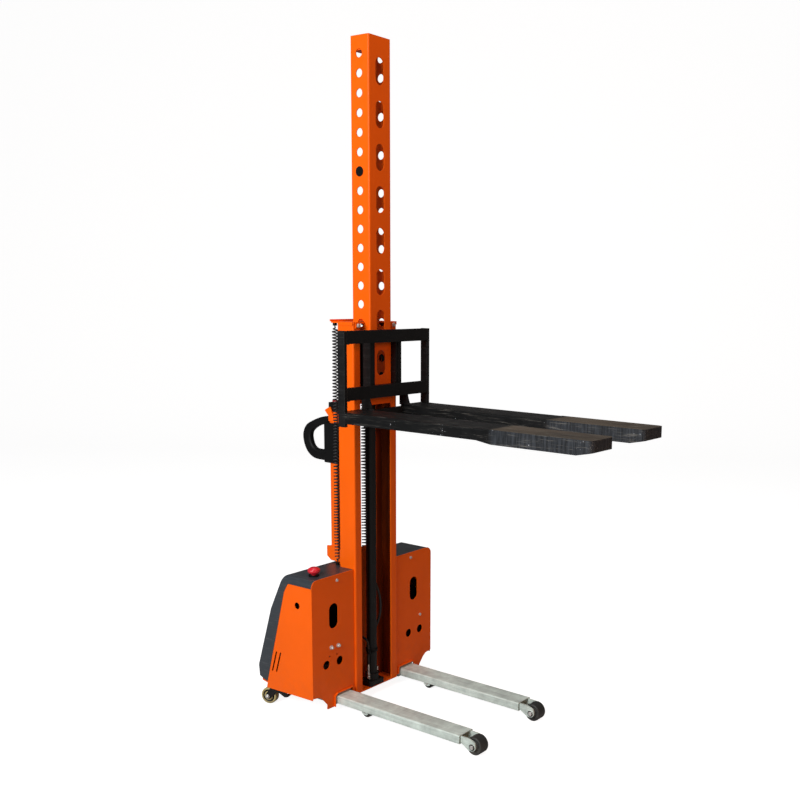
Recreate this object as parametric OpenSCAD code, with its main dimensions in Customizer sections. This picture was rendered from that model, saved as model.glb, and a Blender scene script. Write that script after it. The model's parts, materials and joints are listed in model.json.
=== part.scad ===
/* [Machine] */
// Width over the two boxes
body_w = 762; // [750:1:790]
// Height of the fork tops above the floor, lift raised
lift_h = 1297; // [1270:1:1310]
// Height of the fork tops above the floor, lift lowered
low_h = 90; // [88:1:96]
// Clearance between pieces that slide past each other
play = 0.5; // [0.3:0.1:0.8]
// Radial clearance of a shaft in its bearing
fit = 0.05; // [0.02:0.01:0.08]

/* [Mast] */
// Width over both mast channels
mast_w = 266; // [260:1:272]
// Depth of a mast channel, front to rear
mast_d = 92; // [90:1:96]
// Flange width of a mast channel
mast_flange = 39; // [37:1:41]
// Wall of a mast channel
mast_t = 6; // [5:0.5:7]
// Height of the lower end of the channels above the floor
mast_foot = 46; // [44:1:50]
// Height of the upper end of the channels above the floor
mast_top = 1646; // [1640:1:1700]
// Thickness of the crosshead plate
cross_t = 6; // [4:0.5:8]
// Reach of the crosshead behind the mast front
cross_back = 134; // [132:1:140]
// Height of the top of the rear panel
panel_top = 664; // [630:1:700]

/* [Lift column] */
// Width of the column
col_w = 130; // [124:1:132]
// Depth of the column
col_d = 97; // [94:1:99]
// Distance of the column web ahead of the mast front
col_front = 31; // [29:1:34]
// Wall of the column
col_t = 4; // [3:0.5:5]
// Length of the column
col_len = 1476; // [1440:1:1480]
// Height of the lower column end above the fork tops
col_up = 11; // [8:1:20]
// Number of slots in the web
slot_n = 8; // [5:1:8]
// Width of a slot
slot_w = 50; // [40:1:56]
// Length of a slot
slot_len = 106; // [90:1:120]
// Spacing of the slots
slot_pitch = 167; // [160:1:170]
// Distance of the first slot below the column top
slot_down = 80; // [70:1:100]
// Number of holes in each flange
hole_n = 18; // [12:1:18]
// Diameter of a flange hole
hole_d = 34; // [28:1:38]
// Spacing of the flange holes
hole_pitch = 76.2; // [74:0.1:78]
// Distance of the first hole below the column top
hole_down = 69; // [60:1:80]
// Which flange hole the plug closes, counted from the top
plug_at = 7; // [2:1:10]

/* [Cylinder] */
// Diameter of the cylinder barrel
barrel_d = 46; // [44:1:50]
// Bore of the barrel
bore_d = 36; // [34:1:38]
// Diameter of the piston rod
rod_d = 30; // [26:1:32]
// Height of the upper barrel end above the floor
barrel_top = 1392; // [1370:1:1396]
// Distance of the cylinder axis behind the mast front
cyl_y = 32; // [30:1:34]
// Height of the cylinder foot block
foot_h = 50; // [40:1:52]

/* [Fork carriage] */
// Width over the forks and the backrest
fork_span = 528; // [520:1:536]
// Width of one fork
fork_w = 150; // [146:1:152]
// Length of a fork ahead of the backrest
fork_len = 1154; // [1000:1:1200]
// Height of the fork section
fork_h = 46; // [44:1:50]
// Wall of the folded fork
fork_t = 6; // [5:0.5:8]
// Outer bend radius of the folded fork
fork_bend = 8; // [6:0.5:10]
// Length of the closed fork shoe
shoe_len = 428; // [380:1:460]
// Added height of the shoe
shoe_drop = 10; // [6:1:12]
// Distance of the backrest front ahead of the mast front
rest_front = 76; // [74:1:80]
// Height of the backrest above the fork tops
rest_h = 325; // [280:1:330]
// Width of a backrest post
post_w = 16; // [14:0.5:17]
// Depth of a backrest post
post_d = 38; // [30:1:40]
// Thickness of the backrest bars
bar_t = 16; // [12:1:18]
// Height of the backrest bars
bar_h = 52; // [45:1:58]
// Height of the middle bar above the fork tops
bar_up = 45; // [40:1:60]
// Thickness of the carriage side plates
cheek_t = 12; // [10:1:14]
// Width of a carriage roller
roller_w = 25; // [20:1:27]
// Height of the lower rollers above the fork tops
roller_low = 73; // [70:1:90]
// Height between the lower and the upper rollers
roller_rise = 220; // [180:1:222]

/* [Support legs] */
// Distance of each leg axis from the machine centre
leg_x = 202.5; // [201:0.5:203]
// Width of a leg
leg_w = 88; // [84:0.5:89]
// Height of a leg section
leg_h = 36; // [34:1:38]
// Height of the leg tops above the floor
leg_top = 72; // [70:1:74]
// Wall of a leg
leg_t = 4; // [3:0.5:5]
// Reach of the leg tube ahead of the mast front
leg_front = 657; // [600:1:670]
// Reach of the leg tube behind the mast front
leg_back = 150; // [140:1:160]
// Diameter of a load wheel
load_d = 74; // [72:1:76]
// Width of a load wheel
load_w = 50; // [44:1:54]
// Distance of the load wheel axle ahead of the leg tube
load_out = 57; // [54:1:70]
// Diameter of an auxiliary wheel
aux_d = 50; // [46:1:52]
// Distance of the auxiliary wheel ahead of the mast front
aux_y = 140; // [120:1:200]

/* [Boxes and cover] */
// Distance of the box fronts behind the mast front
box_y = 9; // [8:1:14]
// Sheet thickness of boxes and cover
sheet = 3; // [2:0.5:4]
// Height of the box tops above the floor
box_top = 604; // [590:1:608]
// Lower edge of the side panels above the floor
box_low = 90; // [84:1:96]
// Radius of the upper outer box corners
box_r = 30; // [20:1:40]
// Height of the base plate above the floor
base_z = 105; // [104:1:110]
// Thickness of the base plate
base_t = 6; // [4:0.5:8]
// Rear edge of the base plate behind the mast front
base_back = 357; // [350:1:364]

/* [Casters] */
// Distance of each caster pivot from the side of the body
caster_in = 43; // [39:1:45]
// Distance of the caster pivots behind the mast front
caster_y = 268; // [262:1:272]
// Diameter of a caster wheel
caster_d = 72; // [70:1:74]
// Width of a caster wheel
caster_w = 30; // [26:1:32]
// Trail of a caster wheel
trail = 40; // [36:1:44]
// Outward turn of the casters at rest, in degrees
caster_turn = 17; // [0:1:30]

/* [Handle] */
// Width of the handle post
post_x = 50; // [44:1:52]
// Depth of the handle post
post_y = 40; // [36:1:44]
// Distance of the post front behind the mast front
post_at = 143; // [141:1:148]
// Upper end of the post above the floor
post_top = 1270; // [1262:1:1280]
// Height of the D-handle's lower end above the floor
grip_z = 1043; // [1030:1:1050]
// Thickness of the D-handle
grip_t = 30; // [26:1:32]
// Reach of the D-handle behind the post
grip_out = 183; // [170:1:190]
// Diameter of the emergency-stop mushroom
stop_d = 52; // [46:1:56]

/* [Cords] */
// Outer diameter of a curly cord
coil_d = 27; // [24:0.5:28]
// Diameter of the cord itself
cord_d = 5.5; // [4.5:0.5:6]
// Number of curls of each cord
curls = 44; // [30:1:45]
// Diameter of the hydraulic hose
hose_d = 12; // [8:0.5:12]
// Bulge of the hose's slack loop beside the barrel
hose_bulge = 22; // [14:1:24]

/* [Hidden] */
$fn = 64;
orange = [0.94, 0.39, 0.08];
black = [0.12, 0.12, 0.13];
zinc = [0.74, 0.76, 0.72];
steel = [0.62, 0.63, 0.64];
slate = [0.2, 0.23, 0.26];
red = [0.8, 0.1, 0.12];

half_w = body_w / 2;
caster_x = half_w - caster_in;
half_mast = mast_w / 2;
box_mid = (half_mast + half_w) / 2;
flange_x = half_mast - mast_flange;
back_reach = post_at + post_y + grip_out;
mast_y = (rest_front + fork_len - back_reach) / 2;
roller_d = mast_d - 2 * mast_t - 2 * play;
roller_y = mast_d / 2;
roller_in = half_mast - mast_t - roller_w - 4;
pin_d = 24;
col_low = lift_h + col_up;
col_top = col_low + col_len;
col_in = col_w / 2 - col_t;
rod_top = col_top - 57;
rod_low = barrel_top - 72;
gland_h = 18;
gland_d = barrel_d + 8;
tab_at = [140, 520];
tab_w = 20;
tab_h = 40;
barrel_low = mast_foot + foot_h;
piston_h = 40;
fork_x = fork_span / 2 - fork_w;
leg_lo = leg_x - 55.5;
leg_hi = leg_x + 53.5;
shoe_y = -rest_front - fork_len + shoe_len;
load_y = -leg_front - load_out;
coil_r = (coil_d - cord_d) / 2;
cord_a = [-118, 119];
cord_b = [50, 117];
cover_top = box_top - 1;
gland_up = 12;
cord_low = cover_top + gland_up;
cord_high = mast_top - gland_up;
post_left = -flange_x;
post_mid = post_left + post_x / 2;
bracket_low = [610, 674];
bracket_high = [1224, 1264];
stop_at = [76 - half_w, 72];
battery_h = 250;
motor_h = 205;
panel_slot = [box_mid, 429.5];
panel_holes = [[box_mid + 44, 224], [box_mid - 34, 223.5]];
panel_pins = [[box_mid + 24, 257], [box_mid - 17.5, 256]];
panel_nuts = [[-box_mid - 17, 295], [24 - box_mid, 294]];
hose_x = barrel_d / 2 + hose_d / 2 + 1;
hose_y = cyl_y + 16;
hose_slack = [[560, 0], [535, 0.05], [500, 0.3], [465, 0.68], [430, 0.93], [395, 1], [360, 0.93],
    [325, 0.65], [295, 0.28], [265, 0.05], [225, 0], [140, 0]];
hose_places = concat([[hose_x + 3, hose_y, barrel_top - 6], [hose_x + 3, hose_y, barrel_top - 18],
    [hose_x - 1, hose_y, barrel_top - 40], [hose_x - 1, hose_y, 900]],
    [for (s = hose_slack) [hose_x - 1 + hose_bulge * s[1], hose_y - 22 * s[1], s[0]]],
    [[hose_x + 8, hose_y - 5, 112], [hose_x + 12, hose_y - 6, mast_foot + 60],
    [hose_x + 12, hose_y - 6, mast_foot + 46]]);
plate_t = 6;

// Unit vector along v
function unit(v) = v / norm(v);

// Chain of points that rounds the corner at p between a and b to radius r
function corner(a, p, b, r, n) =
    let (u = unit(a - p), v = unit(b - p), h = acos(u * v) / 2)
    let (c = p + unit(u + v) * r / sin(h), s = p + u * r / tan(h) - c, e = p + v * r / tan(h) - c)
    let (w = atan2(s[0] * e[1] - s[1] * e[0], s * e), f = atan2(s[1], s[0]))
    [for (i = [0:n]) c + r * [cos(f + w * i / n), sin(f + w * i / n)]];

// Outline through points [x, y, radius], each corner rounded to its radius
function soft(q, n = 5) = let (m = len(q)) [for (i = [0:m - 1])
    let (a = q[(i + m - 1) % m], p = q[i], b = q[(i + 1) % m])
    each (p[2] > 0 ? corner([a[0], a[1]], [p[0], p[1]], [b[0], b[1]], p[2], n) : [[p[0], p[1]]])];

// Children placed from the mast's own frame into the model's
module at_mast() { translate([0, mast_y, 0]) children(); }

// Copies of the children on both sides
module both() {
    children();
    mirror([1, 0, 0]) children();
}

// Children on the left side (-1) or the right side (1)
module side(s) {
    if (s > 0) children();
    else mirror([1, 0, 0]) children();
}

// Outline in the Y-Z plane drawn out along X from x0 to x1
module slab_x(q, x0, x1) {
    translate([x0, 0, 0]) rotate([90, 0, 90]) linear_extrude(x1 - x0) polygon(q);
}

// Outline in the X-Z plane drawn out along Y from y0 to y1
module slab_y(q, y0, y1) {
    translate([0, y1, 0]) rotate([90, 0, 0]) linear_extrude(y1 - y0) polygon(q);
}

// Outline in the X-Y plane drawn out along Z from z0 to z1
module slab_z(q, z0, z1) {
    translate([0, 0, z0]) linear_extrude(z1 - z0) polygon(q);
}

// Box between two corners
module block(a, b) { translate(a) cube(b - a); }

// Cylinder along X from x0 to x1
module rod_x(d, x0, x1, y, z) {
    translate([x0, y, z]) rotate([0, 90, 0]) cylinder(d = d, h = x1 - x0);
}

// Cylinder along Y from y0 to y1
module rod_y(d, y0, y1, x, z) {
    translate([x, y0, z]) rotate([-90, 0, 0]) cylinder(d = d, h = y1 - y0);
}

// Cylinder along Z from z0 to z1
module rod_z(d, z0, z1, x, y) {
    translate([x, y, z0]) cylinder(d = d, h = z1 - z0);
}

// Upright slot through a sheet across Y
module slot_y(w, len, y0, y1, x, z) {
    for (s = [-1, 1]) rod_y(w, y0, y1, x, z + s * (len - w) / 2);
    block([x - w / 2, y0, z - (len - w) / 2], [x + w / 2, y1, z + (len - w) / 2]);
}

// Hexagon bolt head with its washer, standing ahead of the point in -Y
module bolt_y(x, y, z, d = 12) {
    rod_y(d * 1.5, y - 1.5, y, x, z);
    translate([x, y - 1.5, z]) rotate([90, 30, 0]) cylinder(d = d * 1.25, h = d * 0.45, $fn = 6);
}

// Tube of diameter d along a route; out lists a sideways direction for each place
module tube(route, out, d, sides) {
    n = len(route);
    dirs = [for (i = [0:n - 1]) unit(route[min(i + 1, n - 1)] - route[max(i - 1, 0)])];
    points = [for (i = [0:n - 1])
        let (t = dirs[i], u = unit(out[i] - (out[i] * t) * t), v = cross(t, u))
        for (k = [0:sides - 1])
            route[i] + d / 2 * (cos(360 * k / sides) * u + sin(360 * k / sides) * v)];
    walls = [for (i = [0:n - 2]) for (k = [0:sides - 1])
        let (a = i * sides + k, b = i * sides + (k + 1) % sides, c = a + sides, e = b + sides)
        each [[a, e, b], [a, c, e]]];
    ends = [for (k = [1:sides - 2]) each [[0, k, k + 1],
        [(n - 1) * sides, (n - 1) * sides + k + 1, (n - 1) * sides + k]]];
    polyhedron(points = points, faces = concat(walls, ends));
}

// Base plate with rear lip, sill under the mast and the web that joins them
module chassis_frame() color(orange) at_mast() {
    web_y = mast_d + sheet;
    x = half_w - sheet;
    difference() {
        union() {
            block([-x, box_y + sheet, base_z], [x, base_back, base_z + base_t]);
            block([-x, base_back - base_t, base_z + base_t], [x, base_back, base_z + 21]);
        }
        block([-half_mast, -1, base_z - 1], [half_mast, web_y, base_z + base_t + 1]);
        both() block([half_w - 40, 293, base_z - 1], [half_w, base_back + 1, base_z + base_t + 16]);
    }
    both() slab_z(soft([[half_w - 42, 290, 0], [half_w - 1, 290, 0], [half_w - 10, 330, 20],
        [half_w - 40, base_back, 0]]), base_z, base_z + base_t);
    slab_z(soft([[-half_mast, 0, 4], [half_mast, 0, 4], [half_mast, web_y + sheet, 0],
        [-half_mast, web_y + sheet, 0]]), mast_foot - 5, mast_foot);
    block([-half_mast, web_y, mast_foot], [half_mast, web_y + sheet, base_z]);
}

// Slotted guides that carry the legs under the base plate
module leg_guides() color(steel) at_mast() both() {
    w = leg_w / 2 + play;
    low = leg_top - leg_h - play;
    y0 = box_y + sheet;
    y1 = 240;
    wall = 4;
    difference() {
        block([leg_x - w - wall, y0, low - wall], [leg_x + w + wall, y1, leg_top + play + wall]);
        block([leg_x - w, y0 - 1, low], [leg_x + w, y1 + 1, leg_top + play]);
        block([leg_x - w + 13, y0 - 1, low - wall - 1], [leg_x + w - 13, y1 + 1, low + 1]);
    }
    for (y = [y0, 120, y1 - 8])
        block([leg_x - w, y, leg_top + play + wall], [leg_x + w, y + 8, base_z]);
}

// Swivel plates of the casters with their four bolt heads
module caster_mounts() color(zinc) at_mast() both() translate([caster_x, caster_y, 0]) {
    difference() {
        union() {
            slab_z(soft([[-36, -32, 6], [36, -32, 6], [36, 32, 6], [-36, 32, 6]]), base_z - 4, base_z);
            rod_z(44, base_z - 11, base_z - 4, 0, 0);
        }
        rod_z(12, base_z - 12, base_z - 6, 0, 0);
    }
}

// Rolled mast channel open toward the machine centre
module mast_channel() {
    r = 7;
    q = [[half_mast, 0, r], [half_mast, mast_d, r], [flange_x, mast_d, 1], [flange_x, mast_d - mast_t, 1],
        [half_mast - mast_t, mast_d - mast_t, 2], [half_mast - mast_t, mast_t, 2],
        [flange_x, mast_t, 1], [flange_x, 0, 1]];
    slab_z(soft(q), mast_foot, mast_top);
}
module mast_left() color(orange) at_mast() side(-1) mast_channel();
module mast_right() color(orange) at_mast() side(1) mast_channel();

// Panel that closes the lower mast at the rear
module mast_rear_panel() color(orange) at_mast() {
    w = flange_x + plate_t;
    slab_y(soft([[-w, base_z - 30, 0], [w, base_z - 30, 0], [w, panel_top, 6], [-w, panel_top, 6]]),
        mast_d, mast_d + sheet);
}

// Crosshead plate over both channels, tied behind the column
module mast_crosshead() color(orange) at_mast() {
    slot_x = col_w / 2 + 4;
    slot_y1 = col_d - col_front + 5;
    difference() {
        slab_z(soft([[-half_mast, -2, 5], [-slot_x, -2, 3], [-slot_x, slot_y1, 6], [slot_x, slot_y1, 6],
            [slot_x, -2, 3], [half_mast, -2, 5], [half_mast, cross_back, 12], [-half_mast, cross_back, 12]]),
            mast_top, mast_top + cross_t);
        for (p = [cord_a, cord_b]) rod_z(cord_d + 1, mast_top - 1, mast_top + cross_t + 1, p[0], p[1]);
    }
    both() {
        block([half_mast, 2, mast_top - 8], [half_mast + 3, mast_d - 6, mast_top + cross_t]);
        block([flange_x + 1, -2 - sheet, mast_top - 19], [half_mast - 10, -2, mast_top + cross_t]);
        block([flange_x + 1, -2, mast_top - 19], [half_mast - 10, 0, mast_top - 12]);
    }
    block([-half_mast, cross_back - 6, mast_top + cross_t], [half_mast, cross_back, mast_top + cross_t + 8]);
}

// Hexagon bolts of the crosshead and of the box fronts
module body_bolts() color(zinc) at_mast() {
    both() {
        bolt_y(flange_x + 14, -2 - sheet, mast_top - 8);
        bolt_y(box_mid - 21, box_y, 580, 9);
    }
    for (p = panel_nuts) {
        rod_y(18, box_y - 4, box_y, p[0], p[1]);
        rod_y(14, box_y - 8, box_y - 4, p[0], p[1]);
        translate([p[0], box_y - 8, p[1]]) sphere(d = 14);
    }
    rod_y(12, box_y - 5, box_y, box_mid + 44, 294);
}

// Front outline of a box, from the mast to the outer edge, with the leg opening
function front_outline() = soft([[half_mast, box_top, 0], [half_w, box_top, box_r],
    [half_w, box_low + 8, 3], [half_w - 36, box_low + 4, 10], [half_w - 55, 80, 12],
    [half_w - 84, 46, 8], [half_w - 81, 26, 5], [leg_hi, 26, 2], [leg_hi, 70, 3],
    [leg_hi - 14, leg_top + 10, 6], [leg_lo + 5, leg_top + 10, 6], [leg_lo, 76, 3], [leg_lo, mast_foot, 2],
    [half_mast, mast_foot - 5, 0]]);

// Side outline of a box
function side_outline() = soft([[box_y, box_low, 2], [291, box_low - 6, 3], [284, 117, 0],
    [172, 532, 26], [148, 572, 14], [box_y, 572, 0]]);

// Folded sheet box: front panel with its cut-outs, side panel and lip round the leg
module box_shell(near) {
    difference() {
        slab_y(front_outline(), box_y, box_y + sheet);
        slot_y(52, 109, box_y - 1, box_y + sheet + 1, panel_slot[0], panel_slot[1]);
        for (p = panel_holes) rod_y(38, box_y - 1, box_y + sheet + 1, p[0], p[1]);
        if (near) for (p = panel_pins)
            rod_y(8, box_y - 1, box_y + sheet + 1, p[0], p[1]);
    }
    difference() {
        slab_x(side_outline(), half_w - sheet, half_w);
        block([half_w - sheet - 1, 0, box_low - 8], [half_w + 1, box_y + sheet, box_top]);
        if (near) rod_x(29, half_w - sheet - 1, half_w + 1, 95, 487);
        for (p = [[226, 261], [201, 262]]) vent(p[0], p[1]);
    }
    for (z = tab_at)
        block([half_w - sheet - tab_w, box_y + sheet, z], [half_w - sheet, box_y + 2 * sheet, z + tab_h]);
    slab_y([[leg_lo, mast_foot + 4], [leg_lo + 5, leg_top + 10], [leg_hi - 14, leg_top + 10], [leg_hi, 70],
        [leg_hi, 26], [leg_hi + 3, 26], [leg_hi + 3, 72],
        [leg_hi - 13, leg_top + 13], [leg_lo + 3, leg_top + 13],
        [leg_lo - 3, 76], [leg_lo - 3, mast_foot + 4]], box_y - 8, box_y);
}

// Slanted cooling slot in a side panel, from its upper end
module vent(y, z) {
    q = [[y - 4, z - 3], [y, z], [y + 4, z - 3], [y + 32, z - 93], [y + 28, z - 96], [y + 24, z - 94]];
    slab_x(q, half_w - sheet - 1, half_w + 1);
}
module box_shell_left() color(orange) at_mast() side(-1) box_shell(true);
module box_shell_right() color(orange) at_mast() side(1) box_shell(false);

// Side profile of the rear cover, drawn in by t
function cover_side(t) = soft([[box_y + sheet + 0.3 + t, cover_top - t, 0],
    [176 - t * 0.6, cover_top - t, 14],
    [254 - t, 446, 40], [339 - t, 177, 30], [334 - t, 128, 0], [296, 113 - t * 0.3, 0],
    [box_y + sheet + 0.3 + t, 113, 0]]);

// Front outline of the rear cover, drawn in by t
function cover_front(t) = soft([[-half_w + t, 100, 0], [half_w - t, 100, 0],
    [half_w - t, cover_top - t, box_r - t], [-half_w + t, cover_top - t, box_r - t]]);

// One folded cover over both boxes and behind the mast
module rear_cover() color(slate) at_mast() {
    difference() {
        intersection() {
            slab_x(cover_side(0), -half_w, half_w);
            slab_y(cover_front(0), 0, back_reach);
        }
        intersection() {
            slab_x(cover_side(sheet), -half_w, half_w);
            slab_y(cover_front(sheet), 0, back_reach);
        }
        block([-half_w, 0, 0], [half_w, back_reach, base_z + base_t + 2]);
        block([-half_mast - play, 0, 0], [half_mast + play, mast_d + sheet + play, box_top + 1]);
        both() slab_x(soft([[0, 0, 0], [298, 0, 0], [285, 118, 0], [173, 533, 26], [149, 573, 14],
            [0, 573, 0]]), half_w - sheet - 0.5, half_w + 1);
        for (p = [cord_a, cord_b]) rod_z(cord_d + 3, cover_top - 6, cover_top + 1, p[0], p[1]);
        rod_z(26, cover_top - 6, cover_top + 1, stop_at[0], stop_at[1]);
        both() slab_y(soft([[half_mast + 14, 118, 4], [half_w - 22, 118, 4],
            [half_w - 22, box_top - 24, box_r - 12], [half_mast + 14, box_top - 24, 4]]),
            0, box_y + 2 * sheet + 2);
        both() block([half_w - sheet - tab_w - play, 0, tab_at[0] - play],
            [half_w - sheet + play, box_y + 2 * sheet + play, tab_at[1] + tab_h + play]);
    }
}

// Lead-acid traction battery with its two terminals
module battery() color(black) at_mast() {
    z0 = base_z + base_t;
    x0 = half_mast + 32;
    x1 = half_w - 16;
    slab_z(soft([[x0, 26, 6], [x1, 26, 6], [x1, 200, 6], [x0, 200, 6]]), z0, z0 + battery_h);
    for (x = [x0 + 30, x1 - 30]) rod_z(18, z0 + battery_h, z0 + battery_h + 12, x, 60);
}

// Controller box standing on the battery strap
module control_unit() color(steel) at_mast() {
    z0 = base_z + base_t + battery_h;
    x0 = box_mid - 42;
    x1 = box_mid + 58;
    slab_z(soft([[x0, 40, 4], [x1, 40, 4], [x1, 170, 4], [x0, 170, 4]]), z0, z0 + 46);
    for (i = [0:6]) block([x0 + 7 + 14 * i, 46, z0 + 46], [x0 + 11 + 14 * i, 164, z0 + 60]);
}

// Pump and valve block under the motor
module pump_block() color(zinc) at_mast() {
    z0 = base_z + base_t;
    x0 = -box_mid - 53;
    x1 = 67 - box_mid;
    slab_z(soft([[x0, 60, 4], [x1, 60, 4], [x1, 160, 4], [x0, 160, 4]]), z0, z0 + 90);
    rod_x(22, x1, x1 + 18, 90, z0 + 40);
}

// Pump motor with its end cap
module pump_motor() color(black) at_mast() {
    z0 = base_z + base_t + 90;
    x = 7 - box_mid;
    rod_z(98, z0, z0 + motor_h, x, 110);
    rod_z(84, z0 + motor_h, z0 + motor_h + 15, x, 110);
    rod_z(12, z0 + motor_h + 15, z0 + motor_h + 27, x, 132);
}

// Oil tank behind the motor, with its filler cap
module oil_tank() color(zinc) at_mast() {
    z0 = base_z + base_t;
    x0 = 21 - half_w;
    x1 = -half_mast - 32;
    slab_z(soft([[x0, 172, 8], [x1, 172, 8], [x1, 236, 8], [x0, 236, 8]]), z0, z0 + 270);
    rod_z(34, z0 + 270, z0 + 285, x1 - 35, 204);
}

// Lift cylinder barrel, closed at the foot
module cylinder_barrel() color(black) at_mast() {
    difference() {
        rod_z(barrel_d, barrel_low, barrel_top, 0, cyl_y);
        rod_z(bore_d, barrel_low + 10, barrel_top + 1, 0, cyl_y);
    }
}

// Foot block that seats the barrel on the sill, with the hose port
module cylinder_foot() color(black) at_mast() {
    slab_z(soft([[-44, cyl_y - 34, 6], [44, cyl_y - 34, 6], [44, cyl_y + 34, 6], [-44, cyl_y + 34, 6]]),
        mast_foot, mast_foot + 22);
    rod_z(barrel_d + 14, mast_foot + 22, barrel_low, 0, cyl_y);
    rod_x(16, barrel_d / 2, hose_x + 20, hose_y - 6, mast_foot + 35);
    rod_z(14, mast_foot + 35, mast_foot + 46, hose_x + 12, hose_y - 6);
}

// Screwed gland at the barrel top, bored for the rod
module cylinder_gland() color(black) at_mast() {
    difference() {
        union() {
            rod_z(gland_d, barrel_top, barrel_top + gland_h, 0, cyl_y);
            rod_x(14, gland_d / 2 - 6, hose_x + 10, hose_y, barrel_top + gland_h / 2);
            rod_z(14, barrel_top - 6, barrel_top + gland_h / 2, hose_x + 3, hose_y);
        }
        rod_z(rod_d + 2 * fit, barrel_top - 1, barrel_top + gland_h + 1, 0, cyl_y);
    }
}

// Overflow hose from the gland down behind the barrel, with its slack loop beside the foot
module hydraulic_hose() color(black) at_mast()
    tube(hose_places, [for (p = hose_places) [0, 1, 0]], hose_d, 8);

// Rectangular handle post with rounded edges, open below
module handle_post() color(orange) at_mast() {
    difference() {
        slab_z(soft([[post_left, post_at, 6], [post_left + post_x, post_at, 6],
            [post_left + post_x, post_at + post_y, 6], [post_left, post_at + post_y, 6]]),
            box_top + 6, post_top);
        slab_z(soft([[post_left + 3, post_at + 3, 3], [post_left + post_x - 3, post_at + 3, 3],
            [post_left + post_x - 3, post_at + post_y - 3, 3], [post_left + 3, post_at + post_y - 3, 3]]),
            box_top + 5, post_top + 1);
    }
}

// Two brackets that carry the post on the near mast channel
module post_brackets() color(orange) at_mast() {
    x0 = post_left - plate_t;
    y1 = post_at + post_y;
    y0 = mast_d + sheet;
    z0 = bracket_low[0];
    z1 = bracket_low[1];
    low = soft([[y0, z0, 0], [y1 - 5, z0, 4], [y1 + 19, z0 + 18, 4], [y1 + 19, z1, 4], [y0, z1, 0]]);
    high = soft([[mast_d, bracket_high[0], 0], [y1, bracket_high[0], 6], [y1, bracket_high[1], 6],
        [mast_d, bracket_high[1], 0]]);
    for (q = [low, high]) slab_x(q, x0, post_left);
    for (z = [bracket_low, bracket_high])
        block([-half_mast + 8, mast_d, z[0]], [x0, mast_d + 8, z[1]]);
    block([post_left, y1, z0 + 18], [post_left + post_x - 10, y1 + plate_t, z1]);
}

// Moulded D-handle with the sleeve that clamps it to the post
module d_handle() color(black) at_mast() {
    y0 = post_at + post_y;
    x = post_mid;
    hoop = soft([[y0 + 30, grip_z + 200, 12], [y0 + 92, grip_z + 187, 40],
        [y0 + grip_out - 26, grip_z + 153, 26], [y0 + grip_out + 2, grip_z + 119, 22],
        [y0 + grip_out - 14, grip_z + 67, 40], [y0 + grip_out - 44, grip_z + 15, 26],
        [y0 + 92, grip_z + 3, 20], [y0 + 30, grip_z, 10]]);
    eye = soft([[y0 + 36, grip_z + 168, 8], [y0 + 76, grip_z + 159, 20],
        [y0 + 128, grip_z + 131, 14], [y0 + 132, grip_z + 101, 20],
        [y0 + 106, grip_z + 51, 16], [y0 + 36, grip_z + 51, 8]]);
    difference() {
        union() {
            slab_x(hoop, x - grip_t / 2, x + grip_t / 2);
            slab_z(soft([[x - post_x / 2 - 7, post_at - 5, 6], [x + post_x / 2 + 7, post_at - 5, 6],
                [x + post_x / 2 + 7, y0 + 31, 6], [x - post_x / 2 - 7, y0 + 31, 6]]), grip_z, grip_z + 174);
        }
        slab_x(eye, x - grip_t, x + grip_t);
        block([post_left, post_at, grip_z - 3], [post_left + post_x, y0, grip_z + 177]);
    }
}

// Control head on top of the post, with a bearing for the lever
module control_head() color(black) at_mast() {
    x = post_mid;
    difference() {
        slab_z(soft([[x - 30, post_at - 7, 8], [x + 30, post_at - 7, 8],
            [x + 30, post_at + post_y + 3, 8], [x - 30, post_at + post_y + 3, 8]]), post_top, post_top + 36);
        rod_z(36 + 2 * play, post_top + 30, post_top + 37, x, post_at + post_y / 2);
        rod_x(10 + 2 * fit, x - 31, x - 18, post_at + 27, post_top + 12);
    }
}

// Red horn button let into the control head
module horn_button() color(red) at_mast() {
    x = post_mid;
    rod_z(36, post_top + 34, post_top + 44, x, post_at + post_y / 2);
}

// Butterfly lever that raises and lowers the forks, with its spindle
module control_lever() color(orange) at_mast() {
    x = post_mid - 31.5;
    y = post_at + 27;
    z = post_top + 12;
    slab_x(soft([[y + 31, z - 10, 4], [y + 8, z + 2, 6], [y - 6, z + 1, 6], [y - 28, z - 59, 4],
        [y - 20, z - 60, 4], [y + 8, z - 34, 12]]), x - 3.5, x);
    rod_x(10, x - 3.5, x + 12, y, z);
}

// Collar of the emergency stop on the cover
module estop_collar() color(black) at_mast() difference() {
    rod_z(44, cover_top, cover_top + 5, stop_at[0], stop_at[1]);
    rod_z(22 + 2 * fit, cover_top - 1, cover_top + 6, stop_at[0], stop_at[1]);
}

// Mushroom button of the emergency stop
module estop_button() color(red) at_mast() translate([stop_at[0], stop_at[1], cover_top])
    rotate_extrude() polygon(soft([[0, 2, 0], [11, 2, 0], [11, 12, 1], [20, 12, 1], [stop_d / 2, 20, 2],
        [stop_d / 2, 29, 6], [14, 37, 8], [0, 37, 0]]));

// Cable glands of the two curly cords, on the cover and under the crosshead
module cord_glands() color(black) at_mast() for (p = [cord_a, cord_b])
    for (z = [cover_top, cord_high]) {
        rod_z(18, z, z + gland_up, p[0], p[1]);
    }

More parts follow.
